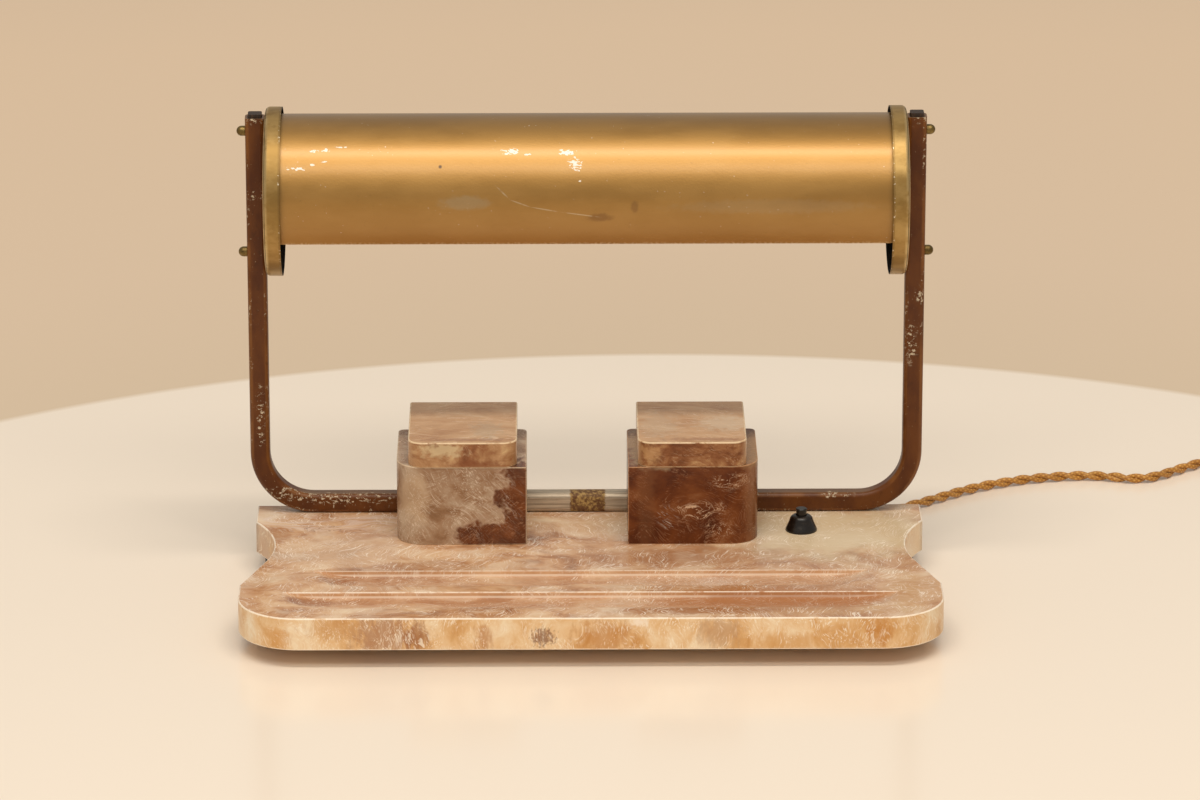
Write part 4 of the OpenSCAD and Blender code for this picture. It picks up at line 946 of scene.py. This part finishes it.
# %% Arms
def arm_lacquer():
    """Sprayed brown nitro lacquer: half gloss, slightly uneven, chipped to a cream primer."""
    material = new_material("brown_sprayed_lacquer")
    stops = [(0.10, "#000000"), (0.35, "#ffffff"), (0.93, "#ffffff"), (0.99, "#000000")]
    edge = facing(material, 1, stops)
    upward = facing(material, 2, [(0.90, "#000000"), (0.99, "#ffffff")])
    cloud = mottle(material, (18, 18, 34), 0.35, 0.65)
    colour = add_node(material, "Mix", {0: cloud, 6: "#50270a", 7: "#633610"}, **OVER)
    chips = mottle(material, (1.6, 2.0, 2.6), 0.585, 0.61, Detail=5.0, Roughness=0.7)
    stretches = mottle(material, 30, 0.50, 0.60, about=(9, 4, 2), Detail=2.0)
    along = add_node(material, "Math", {0: chips, 1: edge}, operation="MULTIPLY")
    along = add_node(material, "Math", {0: along, 1: stretches}, operation="MULTIPLY")
    places = None
    for centre, reach in (
        ((-152, 66, 42), (38, 6, 4)), ((-186, 66, 46), (9, 5, 3)), ((-209, 66, 155), (3, 5, 7)),
        ((-208, 66, 131), (3, 5, 9)), ((-200, 66, 94), (2.4, 5, 18)), ((-202, 66, 236), (7, 5, 3)),
        ((199, 66, 140), (4, 5, 11)), ((203, 66, 172), (2.4, 5, 5)), ((151, 66, 43), (6, 5, 2.4)),
        ((-202, 62, 283), (8, 8, 3)), ((202, 62, 283), (8, 8, 3)),
    ):
        place = patch(material, centre, reach, 5, 0.3)
        places = place if places is None else add_node(material, "Math", {0: places, 1: place}, operation="MAXIMUM")
    denser = mottle(material, (2.6, 1.8, 1.8), 0.555, 0.58, Detail=5.0, Roughness=0.7, about=(2, 7, 3))
    dense = add_node(material, "Math", {0: places, 1: denser}, operation="MULTIPLY")
    bare = add_node(material, "Math", {0: along, 1: dense}, operation="MAXIMUM")
    drops = {0: patch(material, (-148, 66, 35), (28, 4, 5), 5), 1: mottle(material, (1.6, 4, 6), 0.66, 0.68)}
    drips = add_node(material, "Math", drops, operation="MULTIPLY")
    bare = add_node(material, "Math", {0: bare, 1: drips}, operation="MAXIMUM")
    specks = mottle(material, (1.3, 1.3, 1.8), 0.70, 0.72, Detail=3.0)
    colour = paint(material, colour, [
        (upward, 0.5, "#7b6248"),
        ((edge, mottle(material, (20, 20, 40), 0.40, 0.60)), 0.45, "#8f5c2a"),
        (mottle(material, (3, 3, 5), 0.60, 0.70), 0.4, "#432208"),
        (specks, 0.6, "#b09a7c"),
        (bare, 0.92, "#cdbda2"),
    ])
    film = add_node(material, "Math", {0: 1.0, 1: bare}, operation="SUBTRACT")
    rough = add_node(material, "Math", {0: bare, 1: 0.3, 2: 0.36}, operation="MULTIPLY_ADD")
    return finish_surface(material, colour, rough, film, 0.12, 0.7, Specular_IOR_Level=0.3)


lacquer = arm_lacquer()
for node in ("left_arm", "right_arm"):
    finish_copy(node, lacquer, 0.15)

# %% [markdown]
# ## Bar and plugs
#
# Between the inkwells the bare end of the steel bar shows, dull grey and scratched along its length,
# with a collar of old glue and rust in the middle. The tubes' open tops are closed with dark plugs.

# %% Bar and plugs
def bar_steel():
    """Drawn steel, greyed by handling, streaked along its length, with a rusty band of old glue."""
    material = new_material("drawn_bar_steel")
    streaks = mottle(material, (30, 0.8, 0.8), 0.32, 0.68, Detail=3.0)
    colour = add_node(material, "Mix", {0: streaks, 6: "#a59682", 7: "#d3c6b0"}, **OVER)
    glue = patch(material, (0.8, axis.y / MM, 38), (11, 40, 40), 2.4, 0.06, 0.3)
    crust = mottle(material, 2.6, 0.42, 0.66, Detail=5.0, Roughness=0.7)
    old_glue = add_node(material, "Mix", {0: crust, 6: "#5f3a16", 7: "#b39254"}, **OVER)
    rust = mottle(material, (3, 2, 2), 0.64, 0.72, about=(4, 2, 6), Detail=5.0)
    colour = paint(material, colour, [(rust, 0.6, "#8a5a30"), (glue, 0.97, old_glue)])
    metal = add_node(material, "Math", {0: glue, 1: -0.55, 2: 0.55}, operation="MULTIPLY_ADD")
    rough = add_node(material, "Math", {0: glue, 1: 0.15, 2: 0.55}, operation="MULTIPLY_ADD")
    return finish_surface(material, colour, rough, crust, 0.12, 0.3, Metallic=metal)


finish_copy("crossbar", bar_steel(), 0.2)

dark_wood = new_material("stained_beech_plug")
pores = mottle(dark_wood, (0.7, 0.7, 6), 0.35, 0.70, Detail=3.0)
brown = add_node(dark_wood, "Mix", {0: pores, 6: "#1d120a", 7: "#3f2818"}, **OVER)
finish_surface(dark_wood, brown, 0.5, pores, 0.1, 0.4)
finish_copy("upright_plugs", dark_wood, 0.4)

# %% [markdown]
# ## End caps
#
# The caps are cups spun from brass sheet. Their lacquer has gone olive, the outer edge is rubbed pale,
# and inside they are near black. A cup's inner faces are the ones nearer the axis than its
# wall and nearer the mouth than its floor, so those faces get the black finish and the others the
# brass one. The spinning tool leaves fine rings, which are noise on the distance from the axis.

# %% End caps
CAP_WALL = 0.9
cap_low, cap_high = [Vector(corner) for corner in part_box("right_end_cap")]
cap_radius = (cap_high.z - cap_low.z) / 2


def about_axis(material):
    """Distance from the shade's axis, and the place along it and across it, in mm."""
    place = grain(material, 1, about=(0, axis.y / MM, axis.z / MM))
    x, y, z = [add_node(material, "SeparateXYZ", {"Vector": place}, out=i) for i in range(3)]
    across = add_node(material, "CombineXYZ", {0: y, 1: z})
    return add_node(material, "VectorMath", {0: across}, out=1, operation="LENGTH"), x, y, z


def cap_brass():
    """Spun brass under old lacquer: olive, ringed by the spinning tool, pale where it is rubbed, with a painted shade
    line at the mouth.
    """
    material = new_material("spun_olive_brass")
    reach, x, _, _ = about_axis(material)
    out_x = add_node(material, "Math", {0: x}, operation="ABSOLUTE")
    rings = add_node(material, "CombineXYZ", {0: reach, 1: out_x})
    rings = add_node(material, "TexNoise", {"Vector": rings, "Scale": 1.0, "Detail": 2.0})
    tarnish = mottle(material, (24, 14, 14), 0.34, 0.66, Roughness=0.65)
    colour = add_node(material, "Mix", {0: tarnish, 6: "#957640", 7: "#b3935a"}, **OVER)
    # A painted shade line at the mouth, where the gap to the shade is dark, and a pale rubbed band round the outer
    # edge
    inputs = {"Value": out_x, "From Min": cap_low.x / MM, "From Max": cap_high.x / MM}
    outward = add_node(material, "MapRange", inputs)
    mouth = add_node(material, "ValToRGB", {"Fac": outward}, [(0.0, "#ffffff"), (0.09, "#ffffff"), (0.13, "#000000")])
    outer = add_node(material, "ValToRGB", {"Fac": outward}, [(0.72, "#000000"), (0.86, "#ffffff"), (1.0, "#ffffff")])
    colour = paint(material, colour, [
        (mottle(material, 5, 0.56, 0.70), 0.4, "#8b6d3c"),
        ((outer, mottle(material, 12, 0.35, 0.55)), 0.6, "#d5bc8a"),
        # Painted shade along the mouth.
        (mouth, 0.55, "#7d6236"),
        (mottle(material, 1.3, 0.70, 0.73), 0.6, "#5b4424"),
        ((mouth, mottle(material, 2.2, 0.60, 0.64)), 0.9, "#e9dcc2"),
    ])
    return finish_surface(material, colour, 0.42, rings, 0.05, 0.3, Metallic=0.75)


def cap_black():
    """The caps' inside: near black and matt, a little brown, in soft darker clouds."""
    material = new_material("near_black_cap_inside")
    dark_clouds = mottle(material, 8, 0.35, 0.70)
    colour = add_node(material, "Mix", {0: dark_clouds, 6: "#0d0a08", 7: "#1e1711"}, **OVER)
    return finish_surface(material, colour, 0.7, dark_clouds, 0.05, 0.3, Metallic=0.2)


spun_brass = cap_brass()
black_inside = cap_black()
for node in ("left_end_cap", "right_end_cap"):
    cup = copy_of(node)
    for face in cup.faces:
        away = face.calc_center_median() - axis
        past_floor = abs(away.x) < cap_high.x - (CAP_WALL - 0.2) * MM
        within_wall = away.yz.length < cap_radius - (CAP_WALL - 0.2) * MM
        face.material_index = int(past_floor and within_wall)
    shade_smooth(cup)
    add_piece(node + "_cup", cup, [spun_brass, black_inside], [node])

# %% [markdown]
# ## Nuts and screws of the caps
#
# Four screws run from inside the caps through the uprights into small domed nuts. The nuts are turned
# brass that has darkened; the screws are plain steel.

# %% Dome nuts and cap screws
def turned_metal(name, bright, dark, roughness, size=6.0, metallic=1.0):
    """Turned or drawn metal: an even colour with soft tarnish, and no lacquer."""
    material = new_material(name)
    tarnish = mottle(material, size, 0.32, 0.68)
    colour = add_node(material, "Mix", {0: tarnish, 6: dark, 7: bright}, **OVER)
    fine = mottle(material, 0.6, 0.3, 0.7, Detail=2.0)
    return finish_surface(material, colour, roughness, fine, 0.02, 0.2, Metallic=metallic)


olive_brass = turned_metal("turned_olive_brass", "#8c7645", "#5f4d28", 0.42, metallic=0.8)
zinc_steel = turned_metal("zinc_plated_steel", "#a8a8a4", "#7c7b78", 0.35)
finish_copy("cap_dome_nuts", olive_brass, 0.2)
finish_copy("cap_screws", zinc_steel, 0.2)

# %% [markdown]
# ## The shade
#
# The shade is a brass sheet rolled to two thirds of a tube, with a turned-out edge at each end that
# runs inside the caps. Spinning a closed section round the axis makes the sheet, its turned-out ends
# and its two cut edges in one go. It is painted cream inside to throw the light down, so the section's
# inner side gets the paint and the rest the lacquer.

# %% Shade sheet
SHADE_RADIUS = 47.2
SHADE_WALL = 0.8
SHADE_FLANGE = 50.3
SHADE_ANGLE = 234
FLANGE_WALL = 1.0
half_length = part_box("shade")[1][0] / MM


def spin_section(section, angle, steps, turn=0.0):
    """Spins a closed section of (distance along X, distance from the axis) about the shade's axis."""
    bm = bmesh.new()
    bm.faces.layers.float.new("worn_and_highlit_edge")
    corners = [bm.verts.new(axis + mm(x, 0, r)) for x, r in section]
    face = bm.faces.new(corners)
    bmesh.ops.rotate(bm, verts=corners, cent=axis, matrix=Matrix.Rotation(math.radians(turn), 3, "X"))
    geometry = [face] + list(face.edges) + corners
    spin = {"cent": axis, "axis": (1, 0, 0), "dvec": (0, 0, 0), "steps": steps, "use_merge": angle == 360}
    bmesh.ops.spin(bm, geom=geometry, angle=math.radians(angle), **spin)
    bmesh.ops.remove_doubles(bm, verts=bm.verts, dist=0.001 * MM)
    bmesh.ops.recalc_face_normals(bm, faces=bm.faces)
    return bm


inner = SHADE_RADIUS - SHADE_WALL
bead = 0.25
section = []
for side in (-1, 1):
    end = side * half_length
    lip = side * (half_length - FLANGE_WALL)
    points = [
        (end, inner + bead), (end, SHADE_FLANGE - bead), (end - side * bead, SHADE_FLANGE),
        (lip + side * bead, SHADE_FLANGE), (lip, SHADE_FLANGE - bead), (lip, SHADE_RADIUS + bead),
        (lip - side * bead, SHADE_RADIUS),
    ]
    section += points if side < 0 else points[::-1]
section += [(half_length - bead, inner), (-half_length + bead, inner)]
shade = spin_section(section, SHADE_ANGLE, 130, -SHADE_ANGLE / 2)
for face in shade.faces:
    away = (face.calc_center_median() - axis).yz.length / MM
    face.material_index = int(away < inner + 0.1)
print("shade:", len(shade.faces), "faces over", SHADE_ANGLE, "degrees")

# %% [markdown]
# ## Gold lacquer
#
# The outside is lacquered gold, with a fine orange-peel grain, and white paint has splashed on it. The
# marks are placed on the sheet as if it were unrolled: millimetres along it and degrees round it from
# the level line at the front. Coordinates of that kind keep a mark the same size wherever it sits.

# %% Finish of the shade
SPLASHES = [
    ((-164.5, 46.8), (6, 1.8)), ((-157, 47.5), (4, 2.6)), ((-147.5, 50), (6, 1.2)), ((-174, 32.5), (9, 2.2)),
    ((-165, 35.5), (3, 1.6)), ((-158, 37.8), (3, 1.3)), ((-121, 50.2), (1.2, 1.4)), ((-45, 45.6), (9, 4.2)),
    ((-35.5, 43.4), (5, 1.8)), ((-12, 45), (8, 4.5)), ((-6.5, 36), (6, 8)), ((-4, 23), (1.3, 1.4)),
]
SCRATCHES = [((-55, 20), (-46, 9.3)), ((-46, 9.3), (-34, 4)), ((-34, 4), (-16, 0.2)), ((-16, 0.2), (9, -4))]


def on_sheet(material, unrolled, centre, reach, turn=0.0):
    """Distance from a place on the unrolled sheet, where reach is 1."""
    inputs = {"Vector": unrolled, "Location": (*centre, 0), "Rotation": (0, 0, turn), "Scale": (*reach, 1)}
    near = add_node(material, "Mapping", inputs, vector_type="TEXTURE")
    return add_node(material, "VectorMath", {0: near}, out=1, operation="LENGTH")


def shade_lacquer():
    """Gold lacquer over brass: half gloss with a fine orange-peel grain, splashed and scratched, with painted
    reflections that darken its top and lower edge and grey two bands near the level line.
    """
    material = new_material("gold_lacquered_brass")
    reach, x, y, z = about_axis(material)
    forward = add_node(material, "Math", {0: y, 1: -1.0}, operation="MULTIPLY")
    angle = add_node(material, "Math", {0: z, 1: forward}, operation="ARCTAN2")
    degrees = add_node(material, "Math", {0: angle, 1: 180 / math.pi}, operation="MULTIPLY")
    unrolled = add_node(material, "CombineXYZ", {0: x, 1: degrees})
    inputs = {"Vector": unrolled, "Scale": 0.22, "Detail": 4.0, "Roughness": 0.6}
    rough_edge = add_node(material, "TexNoise", inputs)

    def spot_and_reflection(centre, reach_on_sheet, share):
        away = on_sheet(material, unrolled, centre, reach_on_sheet)
        away = add_node(material, "Math", {0: away, 1: rough_edge}, operation="ADD")
        inputs = {"Value": away, "From Min": 1.1, "From Max": 1.9, "To Min": share, "To Max": 0.0}
        return add_node(material, "MapRange", inputs, interpolation_type="SMOOTHSTEP")

    nearest = None
    for centre, size in SPLASHES:
        away = on_sheet(material, unrolled, centre, size)
        nearest = away if nearest is None else add_node(material, "Math", {0: nearest, 1: away}, operation="MINIMUM")
    close = add_node(material, "MapRange", {"Value": nearest, "To Min": 0.42, "To Max": 0.0})
    inputs = {"Vector": grain(material, (2.2, 1.0, 1.0), (0, 18, 0)), "Scale": 1.0, "Detail": 3.0}
    drops = add_node(material, "TexNoise", inputs)
    drops = add_node(material, "Math", {0: drops, 1: close}, operation="ADD")
    splashed = add_node(material, "MapRange", {"Value": drops, "From Min": 0.74, "From Max": 0.77})

    scratched = None
    for start, stop in SCRATCHES:
        run = Vector(stop) - Vector(start)
        centre = (Vector(start) + Vector(stop)) / 2
        away = on_sheet(material, unrolled, tuple(centre), (run.length / 2 + 1, 0.55), math.atan2(run.y, run.x))
        line = add_node(material, "MapRange", {"Value": away, "From Min": 1.0, "From Max": 0.5})
        scratched = line if scratched is None else add_node(
            material, "Math", {0: scratched, 1: line}, operation="MAXIMUM")
    broken = (scratched, mottle(material, 2.4, 0.30, 0.50))

    cloud = mottle(material, (60, 24, 24), 0.35, 0.65)
    colour = add_node(material, "Mix", {0: cloud, 6: "#a97e3b", 7: "#b38845"}, **OVER)
    # Painted reflections: masks for a darker band towards the lower edge and one towards the top.
    lower = add_node(material, "MapRange", {"Value": degrees, "From Min": 6.0, "From Max": -26.0})
    inputs = {"Value": degrees, "From Min": 60.0, "From Max": 90.0}
    upper = add_node(material, "MapRange", inputs, interpolation_type="SMOOTHSTEP")
    cut = -(SHADE_ANGLE - 180) / 2
    hem = add_node(material, "MapRange", {"Value": degrees, "From Min": cut + 2.2, "From Max": cut + 0.6})
    colour = paint(material, colour, [
        # Painted reflections darken the top and the lower edge, and the two grey bands near the level line are
        # painted reflections of the bright room; the other marks are small darker spots.
        (lower, 0.35, "#8f682f"),
        (upper, 0.3, "#876733"),
        (spot_and_reflection((-73, 7), (14, 5), 1.0), 0.35, "#b0a488"),
        (spot_and_reflection((112, 4), (55, 5), 1.0), 0.18, "#b0a488"),
        (spot_and_reflection((8, -4), (7, 3), 1.0), 0.6, "#7e5524"),
        (spot_and_reflection((29, 4), (2.2, 4), 1.0), 0.6, "#8a6230"),
        (spot_and_reflection((-88, 34), (1.0, 1.3), 1.0), 0.9, "#4a3218"),
        (mottle(material, (2.4, 1.6, 1.6), 0.62, 0.72), 0.22, "#7e6232"),
        ((hem, mottle(material, 1.6, 0.45, 0.60)), 0.6, "#d9c49a"),
        (broken, 0.5, "#d8c9ab"),
        (splashed, 0.95, "#f3ece0"),
    ])
    metal = add_node(material, "Math", {0: splashed, 1: -0.85, 2: 0.85}, operation="MULTIPLY_ADD")
    peel = mottle(material, 1.1, 0.3, 0.7, Detail=2.0)
    rough = add_node(material, "Math", {0: cloud, 1: 0.05, 2: 0.43}, operation="MULTIPLY_ADD")
    return finish_surface(material, colour, rough, peel, 0.06, 0.35, Metallic=metal,
                          Coat_Weight=0.75, Coat_Roughness=0.28)


def shade_paint():
    """Cream paint, brushed inside: matt, yellowed in clouds."""
    material = new_material("cream_reflector_paint")
    clouds = mottle(material, (40, 20, 20), 0.35, 0.65)
    colour = add_node(material, "Mix", {0: clouds, 6: "#dccfb2", 7: "#ebe3cf"}, **OVER)
    brushed = mottle(material, (26, 1.2, 1.2), 0.3, 0.7, Detail=2.0)
    return finish_surface(material, colour, 0.6, brushed, 0.06, 0.4)


shade_smooth(shade)
add_piece("shade_sheet", shade, [shade_lacquer(), shade_paint()], ["shade"])

# %% [markdown]
# ## Lampholders, bulbs and filaments
#
# Each cap carries a small glazed porcelain lampholder on a threaded brass tube, and a tube bulb stands
# in it. The bulbs' glass is clear, so the filament shows from below: a stem with a thin wire.

# %% Lampholders and bulbs
porcelain = new_material("white_glazed_porcelain")
body_tint = mottle(porcelain, 9, 0.30, 0.70, Detail=3.0)
white = add_node(porcelain, "Mix", {0: body_tint, 6: "#ddd6c8", 7: "#efeae0"}, **OVER)
finish_surface(porcelain, white, 0.16, body_tint, 0.05, 0.1)
for node in ("left_lampholder", "right_lampholder"):
    finish_copy(node, porcelain, 0.4)

thread_brass = turned_metal("rolled_shell_brass", "#c9a865", "#93743a", 0.3)
finish_copy("holder_nipples", thread_brass, 0.15)
finish_copy("nipple_nuts", zinc_steel, 0.25)
finish_copy("bulb_caps", thread_brass, 0.3)

clear_glass = new_material("clear_bulb_glass")
finish_surface(clear_glass, "#f6faf8", 0.02, Transmission_Weight=1.0, IOR=1.5)
for node in ("left_bulb_glass", "right_bulb_glass"):
    finish_copy(node, clear_glass)

filament_wire = turned_metal("drawn_tungsten", "#8f8d88", "#5a5854", 0.4, 2)
finish_copy("bulb_filaments", filament_wire)

# %% [markdown]
# ## Ink pots
#
# A pressed glass pot sits in each well, faintly green from the iron in the sand. It is a thick simple
# cup, so the copy only needs rounded lips.

# %% Ink pots
pot_glass = new_material("pressed_green_glass")
finish_surface(pot_glass, "#e4f2ea", 0.05, Transmission_Weight=1.0, IOR=1.5)
for node in ("left_ink_pot", "right_ink_pot"):
    finish_copy(node, pot_glass, 0.6)

# %% [markdown]
# ## Fasteners and feet under the base
#
# Slotted screws with washers hold the blocks and the arms, in brass inserts and square nuts. Four
# rubber feet keep the stone off the table, and leave the dark gap under its front edge.

# %% Under the base
insert_brass = turned_metal("turned_insert_brass", "#c8a050", "#94702e", 0.3)
finish_copy("block_inserts", insert_brass)
for node in ("block_screws", "arm_screws", "screw_washers", "arm_nuts"):
    finish_copy(node, zinc_steel, 0.2)

rubber = new_material("black_foot_rubber")
dust = mottle(rubber, 3, 0.40, 0.80)
grey = add_node(rubber, "Mix", {0: dust, 6: "#1a1816", 7: "#34302b"}, **OVER)
finish_surface(rubber, grey, 0.8, dust, 0.1, 0.3)
finish_copy("base_feet", rubber, 0.8, 3)

# %% [markdown]
# ## The push switch
#
# The switch is black moulded phenolic: a bell collar screwed to the slab and a stepped button in it.
# Moulded phenolic is glossy where the mould was polished and scuffed on top. Its body under the
# slab is a brown moulding, and a fine steel spring lifts the button. The spring's foot stays in the
# body and its head goes with the button, so its turns close up when the button is pressed.

# %% Switch
def moulding(name, tone, scuffed, roughness):
    """Moulded phenolic: a hard half gloss, with scuffs that are greyer and duller."""
    material = new_material(name)
    scuffs = mottle(material, 2.2, 0.50, 0.75, Detail=5.0, Roughness=0.7)
    colour = add_node(material, "Mix", {0: scuffs, 6: tone, 7: scuffed}, **OVER)
    rough = add_node(material, "Math", {0: scuffs, 1: 0.25, 2: roughness}, operation="MULTIPLY_ADD")
    return finish_surface(material, colour, rough, scuffs, 0.04, 0.2)


black_moulding = moulding("black_phenolic", "#120c07", "#2a2016", 0.3)
brown_moulding = moulding("brown_phenolic", "#3a2012", "#52301c", 0.35)
finish_copy("switch_collar", black_moulding, 0.25)
finish_copy("switch_button", black_moulding, 0.2)
finish_copy("switch_body", brown_moulding, 0.4)

spring_steel = turned_metal("drawn_spring_steel", "#b4b4b6", "#86868a", 0.25, 2)
foot, head = [Vector(corner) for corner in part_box("switch_spring")]
head.xy = foot.xy
finish_copy("switch_spring", spring_steel, spread=("stand", "button", foot, head))
print("spring, mm:", round((head.z - foot.z) / MM, 2), "long at rest")

# %% [markdown]
# ## Wiring
#
# A moulded bush lines the hole in the slab's rear edge, and a steel clamp inside grips the cord. The
# leads are thin wires in braided cotton, and they meet in a porcelain terminal block.

# %% Wiring
finish_copy("cord_bush", brown_moulding, 0.2)
finish_copy("cord_clamp", zinc_steel, 0.2)
finish_copy("wiring_screws", insert_brass, 0.15)
finish_copy("terminal_screws", insert_brass, 0.15)

bisque = new_material("unglazed_ceramic")
chalk = mottle(bisque, 2, 0.30, 0.80)
chalky = add_node(bisque, "Mix", {0: chalk, 6: "#cfc8b8", 7: "#e6e0d4"}, **OVER)
finish_surface(bisque, chalky, 0.7, chalk, 0.1, 0.3)
finish_copy("terminal_block", bisque, 0.4)

cotton = new_material("brown_braided_cotton")
weave = add_node(cotton, "TexVoronoi", {"Vector": grain(cotton, 0.8), "Scale": 1.0})
braided = add_node(cotton, "Mix", {0: weave, 6: "#8a6236", 7: "#4e3014"}, **OVER)
finish_surface(cotton, braided, 0.85, weave, 0.2, 0.5)
for node in ("left_lead", "right_lead", "switch_lead"):
    finish_copy(node, cotton)
finish_copy("cord_tail", cord_silk)

# %% [markdown]
# ## Tie and plug
#
# The spare cord is held by a loop of cotton tape. The plug is a round two-pin plug of dark moulded
# phenolic, with a ribbed grip on its cover, split brass pins and one screw that holds it together.

# %% Tie and plug
tape = new_material("cotton_tape")
ribs = add_node(tape, "TexWave", {"Vector": grain(tape, 1), "Scale": 1.0, "Distortion": 0.4}, out=1)
woven = add_node(tape, "Mix", {0: ribs, 6: "#c9bfa6", 7: "#e4dcc8"}, **OVER)
finish_surface(tape, woven, 0.85, ribs, 0.15, 0.5)
tie = finish_copy("coil_tie", tape, 0.25)

plug_moulding = moulding("dark_brown_phenolic", "#1c0f09", "#38241a", 0.28)
pin_brass = turned_metal("turned_pin_brass", "#cfa95a", "#987434", 0.28)
plug_parts = [
    finish_copy("plug_base", plug_moulding, 0.4),
    finish_copy("plug_cover", plug_moulding, 0.4),
    finish_copy("plug_pins", pin_brass, 0.3),
    finish_copy("plug_screw", zinc_steel, 0.2),
]

# %% [markdown]
# ## Size of the dressed lamp
#
# The finished pieces have to fill the same box as the solids did, so both boxes are kept and compared.

# %% Size
dressed_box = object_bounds()
for name, solid, dressed in zip(("lowest", "highest"), cad_box, dressed_box):
    print(name, "corner moved, mm:", [round((b - a) / MM, 2) for a, b in zip(solid, dressed)])
